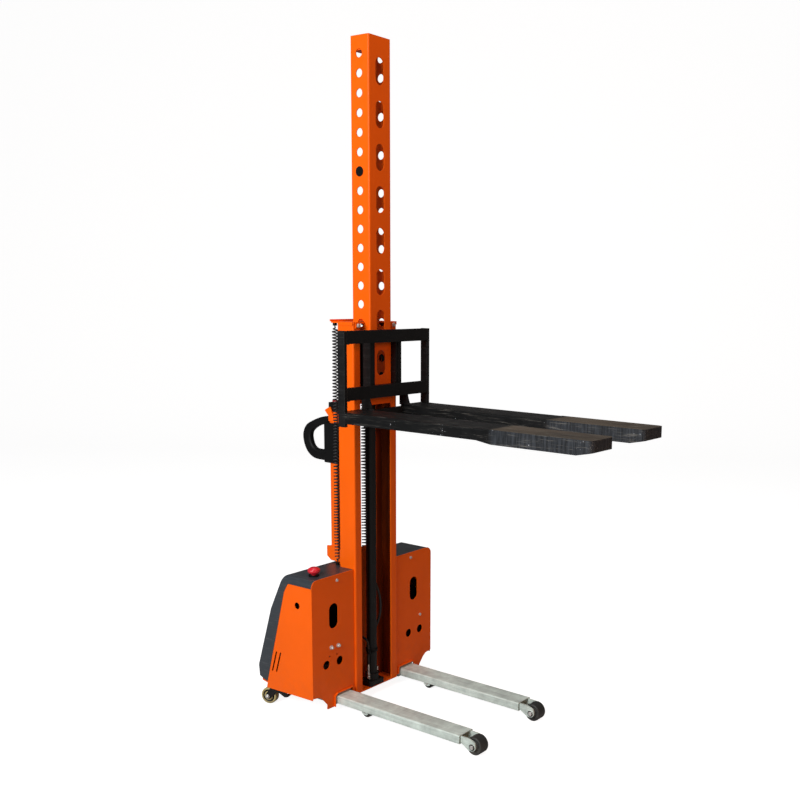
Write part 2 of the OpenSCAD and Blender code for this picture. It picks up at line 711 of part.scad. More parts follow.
// Helix of a curly cord with straight ends, a place for each eighth of a curl
function curl_places(p) =
    let (n = 8 * curls, low = cord_low + cord_d, rise = cord_high - cord_low - 2 * cord_d)
    concat([[p[0], p[1], cord_low]],
        [for (i = [0:n]) let (r = coil_r * min(1, i / 8, (n - i) / 8))
            [p[0] + r * cos(45 * i), p[1] + r * sin(45 * i), low + rise * i / n]],
        [[p[0], p[1], cord_high]]);
function curl_sides() = [for (i = [-1:8 * curls + 1]) [cos(45 * i), sin(45 * i), 0]];
module curly_cord(p) {
    q = curl_places(p);
    n = len(q);
    least = min([for (i = [0:n - 10]) for (j = [i + 6:min(i + 10, n - 1)]) norm(q[i] - q[j])]) - cord_d;
    echo(least_gap_of_cord = least);
    tube(q, curl_sides(), cord_d, 6);
}
module curly_cord_left() color(black) at_mast() curly_cord(cord_a);
module curly_cord_right() color(black) at_mast() curly_cord(cord_b);

// Punched U-channel column, web toward the forks
module lift_column() color(orange) at_mast() {
    x = col_w / 2;
    y0 = -col_front;
    y1 = col_d - col_front;
    q = [[-x, y1, 1], [-x, y0, 6], [x, y0, 6], [x, y1, 1], [x - col_t, y1, 1],
        [x - col_t, y0 + col_t, 2], [-x + col_t, y0 + col_t, 2], [-x + col_t, y1, 1]];
    difference() {
        slab_z(soft(q), col_low, col_top);
        for (i = [0:slot_n - 1])
            slot_y(slot_w, slot_len, y0 - 1, y0 + col_t + 1, 0,
                col_top - slot_down - slot_len / 2 - slot_pitch * i);
        for (i = [0:hole_n - 1])
            rod_x(hole_d, -x - 1, x + 1, y0 + 52.5, col_top - hole_down - hole_pitch * i);
    }
}

// Plate inside the column head that the piston rod pushes
module column_head() color(orange) at_mast() {
    y0 = -col_front + col_t;
    y1 = col_d - col_front - 4;
    difference() {
        slab_z(soft([[-col_in, y0, 3], [col_in, y0, 3], [col_in, y1, 3], [-col_in, y1, 3]]),
            rod_top, rod_top + 12);
        rod_z(12, rod_top - 1, rod_top + 13, 0, cyl_y);
    }
}

// Plug that closes one hole on each side of the column
module column_plug() color(black) at_mast() both() {
    z = col_top - hole_down - hole_pitch * (plug_at - 1);
    y = -col_front + 52.5;
    rod_x(hole_d, col_w / 2 - col_t, col_w / 2, y, z);
    rod_x(hole_d + 6, col_w / 2, col_w / 2 + 1.5, y, z);
}

// Piston rod with its piston and the stud through the head plate
module piston_rod() color(steel) at_mast() {
    rod_z(rod_d, rod_low + piston_h, rod_top, 0, cyl_y);
    rod_z(bore_d - 2 * fit, rod_low, rod_low + piston_h, 0, cyl_y);
    rod_z(11.9, rod_top, rod_top + 12, 0, cyl_y);
    rod_z(22, rod_top + 12, rod_top + 22, 0, cyl_y);
}

// Carriage between the column and the backrest, with its cheeks inside the mast
module fork_carriage() color(black) at_mast() {
    z0 = lift_h + bar_up;
    z1 = lift_h + rest_h - 7;
    x = col_w / 2;
    cheek = soft([[20 - rest_front, z0, 4], [roller_y + 14, z0, 8], [roller_y + 20, z0 + 24, 12],
        [roller_y + 6, z0 + 70, 20], [roller_y - 22, z0 + 110, 30], [roller_y - 22, z0 + 150, 30],
        [roller_y + 6, z1 - 74, 20], [roller_y + 20, z1 - 50, 12], [roller_y + 14, z1, 8],
        [20 - rest_front, z1, 4]]);
    both() {
        difference() {
            slab_x(cheek, x, x + cheek_t);
            for (z = [roller_low, roller_low + roller_rise])
                rod_x(pin_d - 6, x - 1, x + cheek_t + 1, roller_y, lift_h + z);
        }
        block([x + cheek_t, bar_t - rest_front, z0], [x + 31, 56 - rest_front, z1]);
    }
    slab_x(soft([[bar_t - rest_front, z1 - 40, 0], [-col_front, z1 - 40, 0], [-col_front, z1, 0],
        [bar_t - rest_front, z1, 0]]), -x, x);
    slab_x(soft([[bar_t - rest_front, z0, 0], [-col_front, z0, 0], [-col_front, z0 + 50, 0],
        [bar_t - rest_front, z0 + 50, 0]]), -x, x);
}

// Backrest frame: two posts and two bars, with the gussets and the lower cross plate
module backrest() color(black) at_mast() {
    x = fork_span / 2;
    z0 = lift_h - 60;
    z1 = lift_h + rest_h;
    both() {
        slab_z(soft([[x - post_w, -rest_front, 2], [x, -rest_front, 2], [x, post_d - rest_front, 2],
            [x - post_w, post_d - rest_front, 2]]), z0, z1);
        slab_x(soft([[-33, lift_h, 0], [-33, lift_h + bar_up, 0], [-rest_front, lift_h + bar_up, 0],
            [-rest_front - 4, lift_h + bar_up - 16, 10], [-rest_front - 14, lift_h, 0]]),
            fork_x, fork_x + 7);
    }
    for (z = [z1 - bar_h, lift_h + bar_up])
        block([-x + post_w, -rest_front, z], [x - post_w, bar_t - rest_front, z + bar_h]);
    block([-fork_x, -52, low_cross], [fork_x, -36, lift_h - 7]);
}
low_cross = lift_h - low_h + 12;

// Fork: folded channel open below, closing into a sharp-edged bevelled shoe at the tip
module fork() {
    heel = post_d - rest_front;
    tip = -rest_front - fork_len;
    top = lift_h;
    x1 = fork_x + fork_w;
    low = top - fork_h - shoe_drop;
    difference() {
        intersection() {
            union() {
                slab_y(soft([[fork_x, low, 0], [x1, low, 0], [x1, top, fork_bend], [fork_x, top, fork_bend]]),
                    shoe_y + 30, heel);
                slab_z(soft([[fork_x, shoe_y + 30, 0], [x1, shoe_y + 30, 0], [x1, tip, 20],
                    [fork_x, tip, 20]]), low, top);
            }
            slab_x(soft([[heel, top, 0], [heel, top - fork_h, 4], [shoe_y + 67, top - fork_h, 40],
                [shoe_y, low, 40], [tip + 64, low, 20], [tip, low + 13, 3], [tip, top, 3]]), fork_x, x1);
        }
        block([fork_x + fork_t, shoe_y, low - 2], [x1 - fork_t, heel + 1, top - fork_t]);
        block([fork_x + fork_t, tip + 40, low + fork_t + 8], [x1 - fork_t, shoe_y + 1, top - fork_t]);
        block([x1 - post_w, -rest_front, low - 1], [x1 + 1, heel + 1, top + 1]);
    }
}
module fork_left() color(black) at_mast() side(-1) fork();
module fork_right() color(black) at_mast() side(1) fork();

// Four stub pins with their shoulders, pressed into the carriage cheeks
module roller_pins() color(steel) at_mast() both() for (z = [roller_low, roller_low + roller_rise]) {
    x = col_w / 2 + cheek_t;
    rod_x(pin_d - 6, x - cheek_t, x, roller_y, lift_h + z);
    rod_x(pin_d + 8, x, roller_in - play, roller_y, lift_h + z);
    rod_x(pin_d, roller_in - play, roller_in + roller_w, roller_y, lift_h + z);
}

// Carriage roller with its bore and rounded rims
module roller(z) translate([roller_in, roller_y, lift_h + z]) rotate([0, 90, 0]) rotate_extrude()
    polygon(soft([[pin_d / 2 + fit, 0, 0], [roller_d / 2 - 6, 0, 0], [roller_d / 2, 3, 1.5],
        [roller_d / 2, roller_w - 3, 1.5], [roller_d / 2 - 6, roller_w, 0], [pin_d / 2 + fit, roller_w, 0]]));
module roller_low_left() color(steel) at_mast() side(-1) roller(roller_low);
module roller_low_right() color(steel) at_mast() side(1) roller(roller_low);
module roller_high_left() color(steel) at_mast() side(-1) roller(roller_low + roller_rise);
module roller_high_right() color(steel) at_mast() side(1) roller(roller_low + roller_rise);

// Support leg: rectangular tube with an open end, cut out for the auxiliary wheel, and its wheel cheeks
module leg() {
    low = leg_top - leg_h;
    z = load_d / 2;
    in = load_w / 2 + 3;
    x = leg_w / 2;
    arm = aux_d / 2 + 5;
    difference() {
        slab_y(soft([[leg_x - x, low, 5], [leg_x + x, low, 5], [leg_x + x, leg_top, 6],
            [leg_x - x, leg_top, 6]]), -leg_front, leg_back);
        block([leg_x - x + leg_t, -leg_front - 1, low + leg_t],
            [leg_x + x - leg_t, leg_back + 1, leg_top - leg_t]);
        block([leg_x - 28, -aux_y - arm, low - 1], [leg_x + 28, -aux_y + arm, low + leg_t + 1]);
    }
    for (s = [-1, 1]) translate([leg_x, 0, 0]) side(s) {
        difference() {
            slab_x(soft([[load_y - 18, z - 16, 17], [load_y + 18, z - 17, 14],
                [-leg_front - 4, low + leg_t, 6],
                [-leg_front + 90, low + leg_t, 0], [-leg_front + 90, leg_top - leg_t, 0],
                [load_y + 20, leg_top - leg_t, 34], [load_y - 14, z + 22, 20]]), in, in + 7);
            rod_x(20, in - 1, in + 8, load_y, z);
        }
        difference() {
            slab_x(soft([[-aux_y - 15, aux_d / 2 - 8, 12], [-aux_y + 15, aux_d / 2 - 8, 12],
                [-aux_y + arm - 2, leg_top - leg_t, 0], [-aux_y - arm + 2, leg_top - leg_t, 0]]), 22, 27);
            rod_x(12, 21, 28, -aux_y, aux_d / 2 + 4);
        }
    }
}
module leg_left() color(zinc) at_mast() side(-1) leg();
module leg_right() color(zinc) at_mast() side(1) leg();

// Axles of the load wheel and the auxiliary wheel, seated in the leg's cheeks
module leg_axles() translate([leg_x, 0, 0]) {
    in = load_w / 2 + 10;
    z = load_d / 2;
    rod_x(20, -in, in, load_y, z);
    for (s = [-1, 1]) side(s) translate([in, load_y, z]) rotate([0, 90, 0]) {
        cylinder(d = 26, h = 2);
        translate([0, 0, 2]) cylinder(d = 18, h = 4, $fn = 6);
    }
    rod_x(12, -29, 29, -aux_y, aux_d / 2 + 4);
}
module leg_axles_left() color(zinc) at_mast() side(-1) leg_axles();
module leg_axles_right() color(zinc) at_mast() side(1) leg_axles();

// Wheel along X round a centre: tread with rounded rims, dished sides and a bore
module wheel(d, w, bore) {
    h = w / 2;
    rotate([0, 90, 0]) rotate_extrude() polygon(soft([[bore / 2 + fit, -h, 0], [d * 0.26, -h, 0],
        [d * 0.3, -h + 4, 1], [d * 0.36, -h + 4, 1], [d * 0.4, -h, 0], [d / 2, -h, 5], [d / 2, h, 5],
        [d * 0.4, h, 0], [d * 0.36, h - 4, 1], [d * 0.3, h - 4, 1], [d * 0.26, h, 0],
        [bore / 2 + fit, h, 0]]));
}
module load_wheel_left() color([0.28, 0.29, 0.3]) at_mast()
    translate([-leg_x, load_y, load_d / 2]) wheel(load_d, load_w, 20);
module load_wheel_right() color([0.28, 0.29, 0.3]) at_mast()
    translate([leg_x, load_y, load_d / 2]) wheel(load_d, load_w, 20);
module aux_wheel_left() color(black) at_mast()
    translate([-leg_x, -aux_y, aux_d / 2 + 4]) wheel(aux_d, 40, 12);
module aux_wheel_right() color(black) at_mast()
    translate([leg_x, -aux_y, aux_d / 2 + 4]) wheel(aux_d, 40, 12);

// Children in the frame of a caster: pivot on Z, trail toward the rear, turned outward
module at_caster() translate([caster_x, caster_y, 0]) rotate(caster_turn * -1) children();

// Swivelling fork of a caster with its stem and axle
module caster_fork() at_caster() {
    z = caster_d / 2;
    in = caster_w / 2 + 1.5;
    top = base_z - 11 - play;
    rod_z(12 - 2 * fit, top, base_z - 6 - play, 0, 0);
    rod_z(40, top - 5, top, 0, 0);
    for (s = [-1, 1]) slab_x(soft([[-16, top, 4], [16, top, 10], [trail + 12, z + 4, 8],
        [trail + 8, z - 10, 8], [trail - 10, z - 10, 8], [-16, top - 22, 8]]),
        s > 0 ? in : -in - 4, s > 0 ? in + 4 : -in);
    block([-in, -16, top - 5], [in, 14, top]);
    rod_x(10, -in - 8, in + 8, trail, z);
    for (s = [-1, 1]) rod_x(6, s > 0 ? in + 4 : -in - 9, s > 0 ? in + 9 : -in - 4, -6, 78);
}
module caster_fork_left() color(black) at_mast() side(-1) caster_fork();
module caster_fork_right() color(black) at_mast() side(1) caster_fork();
module caster_wheel() at_caster() translate([0, trail, caster_d / 2]) wheel(caster_d, caster_w, 10);
module caster_wheel_left() color([0.72, 0.66, 0.42]) at_mast() side(-1) caster_wheel();
module caster_wheel_right() color([0.72, 0.66, 0.42]) at_mast() side(1) caster_wheel();

// Brake pedal hinged on the front of the caster fork
module brake_pedal() at_caster() {
    in = caster_w / 2 + 6;
    for (s = [-1, 1]) difference() {
        slab_x(soft([[2, 71, 5], [2, 85, 5], [-14, 85, 6], [-58, 62, 6], [-62, 46, 6], [-44, 44, 6]]),
            s > 0 ? in : -in - 3, s > 0 ? in + 3 : -in);
        rod_x(6 + 2 * fit, -in - 4, in + 4, -6, 78);
    }
    slab_x(soft([[-44, 44, 3], [-62, 46, 4], [-60, 54, 3], [-46, 51, 2]]), -in, in);
}
module brake_pedal_left() color(black) at_mast() side(-1) brake_pedal();
module brake_pedal_right() color(black) at_mast() side(1) brake_pedal();

chassis_frame();
leg_guides();
caster_mounts();
mast_left();
mast_right();
mast_rear_panel();
mast_crosshead();
body_bolts();
box_shell_left();
box_shell_right();
rear_cover();
battery();
pump_motor();
pump_block();
oil_tank();
control_unit();
cylinder_barrel();
cylinder_foot();
cylinder_gland();
hydraulic_hose();
handle_post();
post_brackets();
d_handle();
control_head();
estop_collar();
cord_glands();
curly_cord_left();
curly_cord_right();
lift_column();
column_head();
column_plug();
piston_rod();
fork_carriage();
backrest();
fork_left();
fork_right();
roller_pins();
roller_low_left();
roller_low_right();
roller_high_left();
roller_high_right();
leg_left();
leg_right();
leg_axles_left();
leg_axles_right();
load_wheel_left();
load_wheel_right();
aux_wheel_left();
aux_wheel_right();
caster_fork_left();
caster_fork_right();
caster_wheel_left();
caster_wheel_right();
brake_pedal_left();
brake_pedal_right();
estop_button();
control_lever();
horn_button();
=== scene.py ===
"""Looks of a self-loading stacker: finishes, welds, cords and small parts over the fixed frame."""

import json
import math

import bmesh
import bpy
import numpy as np
from mathutils import Matrix, Vector


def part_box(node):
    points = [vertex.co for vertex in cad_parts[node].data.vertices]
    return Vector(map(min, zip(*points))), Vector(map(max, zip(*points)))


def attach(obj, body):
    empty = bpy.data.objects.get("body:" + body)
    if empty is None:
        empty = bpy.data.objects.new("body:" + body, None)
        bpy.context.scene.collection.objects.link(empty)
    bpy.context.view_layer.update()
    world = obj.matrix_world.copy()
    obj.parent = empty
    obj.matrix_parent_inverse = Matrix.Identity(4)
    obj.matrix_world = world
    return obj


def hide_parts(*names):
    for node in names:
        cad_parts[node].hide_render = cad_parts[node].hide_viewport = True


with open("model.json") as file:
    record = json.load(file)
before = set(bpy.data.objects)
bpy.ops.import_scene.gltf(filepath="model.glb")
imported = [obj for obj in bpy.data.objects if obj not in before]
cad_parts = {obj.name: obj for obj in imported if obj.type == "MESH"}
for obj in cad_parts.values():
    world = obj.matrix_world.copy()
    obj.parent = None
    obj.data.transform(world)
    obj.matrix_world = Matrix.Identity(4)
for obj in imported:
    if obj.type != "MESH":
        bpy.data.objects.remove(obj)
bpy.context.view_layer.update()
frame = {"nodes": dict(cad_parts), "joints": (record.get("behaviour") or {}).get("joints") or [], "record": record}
nodes = frame["nodes"]

# Places in metres. The mast channels: front, back, top, and a place just within the web
MAST_WALL = 0.006
MAST_Y, MAST_BACK, MAST_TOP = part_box("mast_left")[0][1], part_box("mast_left")[1][1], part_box("mast_left")[1][2]
MAST_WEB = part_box("mast_right")[1][0] - 0.0058
# The forks: top face, tips and the length of the wider shoe behind the tips
FORK_TOP, FORK_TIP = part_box("fork_left")[1][2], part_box("fork_left")[0][1]
SHOE_LENGTH = 0.428


# Meshes worked out as whole arrays

def make_piece(name, points, faces, body, material):
    """A mesh object from an array of points and a list of faces, riding on a body."""
    mesh = bpy.data.meshes.new(name)
    mesh.from_pydata([tuple(p) for p in np.asarray(points, float)], [], [tuple(f) for f in faces])
    mesh.validate()
    work = bmesh.new()
    work.from_mesh(mesh)
    bmesh.ops.remove_doubles(work, verts=work.verts, dist=1e-6)
    bmesh.ops.recalc_face_normals(work, faces=work.faces)
    work.to_mesh(mesh)
    work.free()
    mesh.polygons.foreach_set("use_smooth", np.ones(len(mesh.polygons), bool))
    piece = bpy.data.objects.new(name, mesh)
    bpy.context.collection.objects.link(piece)
    mesh.materials.append(material)
    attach(piece, body)
    return piece


def grid_faces(rows, columns, closed_rows=False, closed_columns=True):
    """Quads between neighbours of a rows x columns grid, wrapped round where it is closed."""
    last_row = rows if closed_rows else rows - 1
    last_column = columns if closed_columns else columns - 1
    i, j = np.meshgrid(np.arange(last_row), np.arange(last_column), indexing="ij")
    a = i * columns + j
    b = i * columns + (j + 1) % columns
    c = ((i + 1) % rows) * columns + (j + 1) % columns
    d = ((i + 1) % rows) * columns + j
    return np.stack([a, b, c, d], axis=-1).reshape(-1, 4).tolist()


def end_faces(rows, sides):
    """The two faces that close a tube of so many rings at its ends."""
    return [list(range(sides))[::-1], list(range((rows - 1) * sides, rows * sides))]


def merge(parts):
    """Joins (points, faces) pairs into one pair, counting the faces on."""
    points, faces, start = [], [], 0
    for part_points, part_faces in parts:
        points.append(np.asarray(part_points, float))
        faces += [[k + start for k in face] for face in part_faces]
        start += len(part_points)
    return np.concatenate(points), faces


def unit(v):
    """Vectors of length one along the rows of v."""
    return v / np.linalg.norm(v, axis=-1, keepdims=True)


def smooth_route(places, steps=8):
    """Points on the Catmull-Rom curve through the places: cubic spans with half-difference slopes."""
    p = np.asarray(places, float)
    p = np.vstack([2 * p[0] - p[1], p, 2 * p[-1] - p[-2]])
    t = np.linspace(0, 1, steps, endpoint=False)[:, None]
    spans = [0.5 * (2 * p[i] + (p[i + 1] - p[i - 1]) * t
                    + (2 * p[i - 1] - 5 * p[i] + 4 * p[i + 1] - p[i + 2]) * t ** 2
                    + (3 * p[i] - p[i - 1] - 3 * p[i + 1] + p[i + 2]) * t ** 3)
             for i in range(1, len(p) - 2)]
    return np.vstack(spans + [p[-2][None]])


def swept(route, radius, sides=12, out=None):
    """Tube round a route: place + radius (cos v, sin v) in the plane across the route; capped."""
    route = np.asarray(route, float)
    along = unit(np.gradient(route, axis=0))
    if out is None:
        out = np.tile([0.0, 1.0, 0.0], (len(route), 1))
        flat = np.abs((out * along).sum(1)) > 0.95
        out[flat] = [1.0, 0.0, 0.0]
    u = unit(out - (out * along).sum(1, keepdims=True) * along)
    w = np.cross(along, u)
    v = np.linspace(0, 2 * np.pi, sides, endpoint=False)
    r = np.broadcast_to(radius, (len(route),))[:, None, None]
    c, s = np.cos(v)[None, :, None], np.sin(v)[None, :, None]
    rings = route[:, None] + r * (c * u[:, None] + s * w[:, None])
    return rings.reshape(-1, 3), grid_faces(len(route), sides) + end_faces(len(route), sides)


def turned(profile, sides=32, axis="z", at=(0, 0, 0)):
    """Solid of revolution: profile (radius, height) turned about an axis through a place."""
    profile = np.asarray(profile, float)
    v = np.linspace(0, 2 * np.pi, sides, endpoint=False)
    r, h = profile[:, 0][:, None], np.broadcast_to(profile[:, 1][:, None], (len(profile), sides))
    a, b = r * np.cos(v), r * np.sin(v)
    order = {"z": (a, b, h), "x": (h, a, b), "y": (b, h, a)}[axis]
    points = np.stack(order, axis=-1).reshape(-1, 3) + np.asarray(at, float)
    return points, grid_faces(len(profile), sides) + end_faces(len(profile), sides)


def hollow_ring(profile, sides, axis, at):
    """Ring of a closed profile (radius, height) turned about an axis, open in its middle."""
    return turned(profile, sides, axis, at)[0], grid_faces(len(profile), sides, closed_rows=True)


def bevelled(piece, width, angle):
    """Rounds the edges sharper than an angle; weighted normals keep the big faces evenly shaded."""
    bevel = piece.modifiers.new("edges", "BEVEL")
    bevel.width = width
    bevel.segments = 2
    bevel.limit_method = "ANGLE"
    bevel.angle_limit = math.radians(angle)
    even = piece.modifiers.new("even shading", "WEIGHTED_NORMAL")
    even.mode = "FACE_AREA"
    even.weight = 100


def body_of_node(node):
    """Name of the body that a node belongs to."""
    for body, members in frame["record"]["behaviour"]["bodies"].items():
        if node in members:
            return body
    return "root"


def softened(node, width):
    """Copy of a CAD node with its flat faces joined and its edges rounded, in place of the node."""
    source = nodes[node]
    mesh = source.data.copy()
    work = bmesh.new()
    work.from_mesh(mesh)
    bmesh.ops.remove_doubles(work, verts=work.verts, dist=2e-6)
    bmesh.ops.dissolve_limit(work, angle_limit=math.radians(0.6), verts=work.verts, edges=work.edges)
    work.to_mesh(mesh)
    work.free()
    mesh.materials.clear()
    mesh.materials.append(finish_of(node))
    mesh.polygons.foreach_set("use_smooth", np.ones(len(mesh.polygons), bool))
    piece = bpy.data.objects.new(node + "_finish", mesh)
    bpy.context.collection.objects.link(piece)
    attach(piece, body_of_node(node))
    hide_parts(node)
    bevelled(piece, width, 35)


# Node graphs

class Graph:
    """Short calls for the nodes of one tree; a number, a tuple or a socket may be an input."""

    def __init__(self, tree):
        self.tree = tree

    def node(self, kind, **settings):
        made = self.tree.nodes.new(kind)
        for name, value in settings.items():
            setattr(made, name, value)
        return made

    def feed(self, socket, value):
        if isinstance(value, bpy.types.NodeSocket):
            self.tree.links.new(value, socket)
        elif value is not None:
            if isinstance(value, tuple) and len(value) == 3 and socket.type == "RGBA":
                value = (*value, 1.0)
            socket.default_value = value

    def maths(self, operation, a, b=None, c=None, clamp=False):
        made = self.node("ShaderNodeMath", operation=operation, use_clamp=clamp)
        for socket, value in zip(made.inputs, (a, b, c)):
            self.feed(socket, value)
        return made.outputs[0]

    def times(self, first, *others):
        for other in others:
            first = self.maths("MULTIPLY", first, other)
        return first

    def flip(self, value):
        return self.maths("SUBTRACT", 1.0, value)

    def noise(self, place, scale, detail=2.0, roughness=0.5, distortion=0.0):
        made = self.node("ShaderNodeTexNoise")
        self.feed(made.inputs["Vector"], place)
        self.feed(made.inputs["Scale"], scale)
        self.feed(made.inputs["Detail"], detail)
        self.feed(made.inputs["Roughness"], roughness)
        self.feed(made.inputs["Distortion"], distortion)
        return made.outputs[0]

    def stretch(self, place, scale):
        made = self.node("ShaderNodeMapping")
        self.feed(made.inputs["Vector"], place)
        made.inputs["Scale"].default_value = scale
        return made.outputs[0]

    def remap(self, value, low, high, to_low=0.0, to_high=1.0):
        made = self.node("ShaderNodeMapRange")
        made.clamp = True
        for socket, number in zip(made.inputs, (value, low, high, to_low, to_high)):
            self.feed(socket, number)
        return made.outputs[0]

    def mix(self, factor, a, b):
        made = self.node("ShaderNodeMix", data_type="RGBA")
        self.feed(made.inputs[0], factor)
        self.feed(made.inputs[6], a)
        self.feed(made.inputs[7], b)
        return made.outputs[2]

    def axis(self, place, letter):
        made = self.node("ShaderNodeSeparateXYZ")
        self.feed(made.inputs[0], place)
        return made.outputs["XYZ".index(letter)]

    def bump(self, height, distance):
        made = self.node("ShaderNodeBump")
        self.feed(made.inputs["Height"], height)
        made.inputs["Distance"].default_value = distance
        made.inputs["Strength"].default_value = 1.0
        return made.outputs[0]

    def group(self, tree, **inputs):
        made = self.node("ShaderNodeGroup", node_tree=tree)
        for name, value in inputs.items():
            self.feed(made.inputs[name.replace("_", " ")], value)
        return made.outputs


def new_group(name, inputs, outputs):
    """A shader group with named sockets; returns its tree, graph, input and output nodes."""
    tree = bpy.data.node_groups.new(name, "ShaderNodeTree")
    for label, kind, value in inputs:
        socket = tree.interface.new_socket(name=label, in_out="INPUT", socket_type=kind)
        if value is not None:
            socket.default_value = value
    for label, kind in outputs:
        tree.interface.new_socket(name=label, in_out="OUTPUT", socket_type=kind)
    graph = Graph(tree)
    return tree, graph, graph.node("NodeGroupInput"), graph.node("NodeGroupOutput")


def coat_group():
    """Sprayed coat: cloudy colour, patchy gloss and the fine dimples of baked powder."""
    tree, g, given, put = new_group(
        "Sprayed coat",
        [("Place", "NodeSocketVector", None), ("Color", "NodeSocketColor", (1, 1, 1, 1)),
         ("Gloss", "NodeSocketFloat", 0.4), ("Cloud", "NodeSocketFloat", 0.05)],
        [("Color", "NodeSocketColor"), ("Roughness", "NodeSocketFloat"), ("Height", "NodeSocketFloat")])
    place = given.outputs["Place"]
    cloud = g.remap(g.noise(place, 5.0, 4.0), 0.3, 0.7, -1.0, 1.0)
    amount = g.maths("MULTIPLY", cloud, given.outputs["Cloud"])
    bright = g.node("ShaderNodeHueSaturation")
    g.feed(bright.inputs["Value"], g.maths("ADD", amount, 1.0))
    g.feed(bright.inputs["Color"], given.outputs["Color"])
    g.feed(put.inputs["Color"], bright.outputs[0])
    patch = g.remap(g.noise(place, 30.0, 3.0), 0.3, 0.7, -0.05, 0.07)
    g.feed(put.inputs["Roughness"], g.maths("ADD", given.outputs["Gloss"], patch, clamp=True))
    g.feed(put.inputs["Height"], g.noise(place, 700.0, 2.0, 0.55))
    return tree


def scuff_group():
    """Rubbed marks: long thin scratches one way, broken up by patches of use."""
    tree, g, given, put = new_group("Rubbed marks", [
        ("Place", "NodeSocketVector", None), ("Amount", "NodeSocketFloat", 0.5)],
        [("Mask", "NodeSocketFloat"), ("Scratches", "NodeSocketFloat")])
    place = given.outputs["Place"]
    fine = g.noise(g.stretch(place, (260.0, 9.0, 260.0)), 1.0, 5.0, 0.7)
    broad = g.noise(g.stretch(place, (28.0, 5.0, 28.0)), 1.0, 5.0, 0.65, 0.4)
    low = g.maths("MULTIPLY_ADD", g.flip(given.outputs["Amount"]), 0.5, 0.25)
    mask = g.remap(broad, low, g.maths("ADD", low, 0.22))
    g.feed(put.inputs["Mask"], mask)
    g.feed(put.inputs["Scratches"], g.times(g.remap(fine, 0.56, 0.64), g.remap(broad, 0.35, 0.6)))
    return tree


def grime_group():
    """Dust and dirt that thickens toward the floor and gathers in soft spots."""
    tree, g, given, put = new_group("Floor grime", [
        ("Place", "NodeSocketVector", None), ("Reach", "NodeSocketFloat", 0.25),
        ("Amount", "NodeSocketFloat", 0.3)],
        [("Mask", "NodeSocketFloat")])
    place = given.outputs["Place"]
    near = g.flip(g.maths("DIVIDE", g.axis(place, "Z"), given.outputs["Reach"], clamp=True))
    spots = g.remap(g.noise(place, 24.0, 6.0, 0.7), 0.4, 0.75)
    g.feed(put.inputs["Mask"], g.times(near, spots, given.outputs["Amount"]))
    return tree


COAT, SCUFF, GRIME = coat_group(), scuff_group(), grime_group()
DIRT = (0.09, 0.075, 0.06)


def new_material(name, **constants):
    """A material with its graph, shader and Object coordinates; constants go on the shader."""
    material = bpy.data.materials.new(name)
    material.use_nodes = True
    graph = Graph(material.node_tree)
    shader = material.node_tree.nodes["Principled BSDF"]
    for label, value in constants.items():
        graph.feed(shader.inputs[label.replace("_", " ")], value)
    place = graph.node("ShaderNodeTexCoord").outputs["Object"]
    return material, graph, shader, place


def painted(name, colour, gloss, cloud=0.05, dimples=0.00003, grime=0.3, worn=0.0, bare=(0.3, 0.3, 0.3),
            **constants):
    """Baked paint: sprayed coat, floor grime and, where it is worn, rubbed marks in a paler colour."""
    material, g, shader, place = new_material(name, **constants)
    coat = g.group(COAT, Place=place, Color=colour, Gloss=gloss, Cloud=cloud)
    dirt = g.group(GRIME, Place=place, Amount=grime)["Mask"]
    colour_now = g.mix(dirt, coat["Color"], DIRT)
    rough_now = coat["Roughness"]
    if worn:
        rub = g.group(SCUFF, Place=place, Amount=worn)
        colour_now = g.mix(g.times(rub["Scratches"], 0.6), colour_now, bare)
        rough_now = g.maths("ADD", rough_now, g.times(rub["Mask"], 0.12), clamp=True)
    g.feed(shader.inputs["Base Color"], colour_now)
    g.feed(shader.inputs["Roughness"], g.maths("ADD", rough_now, g.times(dirt, 0.4), clamp=True))
    g.feed(shader.inputs["Normal"], g.bump(coat["Height"], dimples))
    return material


# Finishes of this machine

def channel_shade_and_grease(material):
    """Painted shade with some grease inside the channels, where the carriage rollers run: the inside is darkened
    as the near channel shades it; the outer faces keep the plain coat.
    """
    g = Graph(material.node_tree)
    shader = material.node_tree.nodes["Principled BSDF"]
    place = g.node("ShaderNodeTexCoord").outputs["Object"]
    across, deep = g.maths("ABSOLUTE", g.axis(place, "X")), g.axis(place, "Y")
    skin = MAST_WALL - 0.0005
    inside = g.times(g.maths("LESS_THAN", across, MAST_WEB), g.maths("GREATER_THAN", deep, MAST_Y + skin),
                     g.maths("LESS_THAN", deep, MAST_BACK - skin))
    patchiness = g.remap(g.noise(g.stretch(place, (20.0, 20.0, 2.0)), 1.0, 4.0), 0.3, 0.7, 0.65, 0.92)
    unshaded_coat = shader.inputs["Base Color"].links[0].from_socket
    # Painted shade: inside the channel the coat is mixed toward a near-black red that stands in for the shadow
    # there, and partly for grease.
    g.feed(shader.inputs["Base Color"], g.mix(g.times(inside, patchiness), unshaded_coat, (0.02, 0.006, 0.003)))
    return material


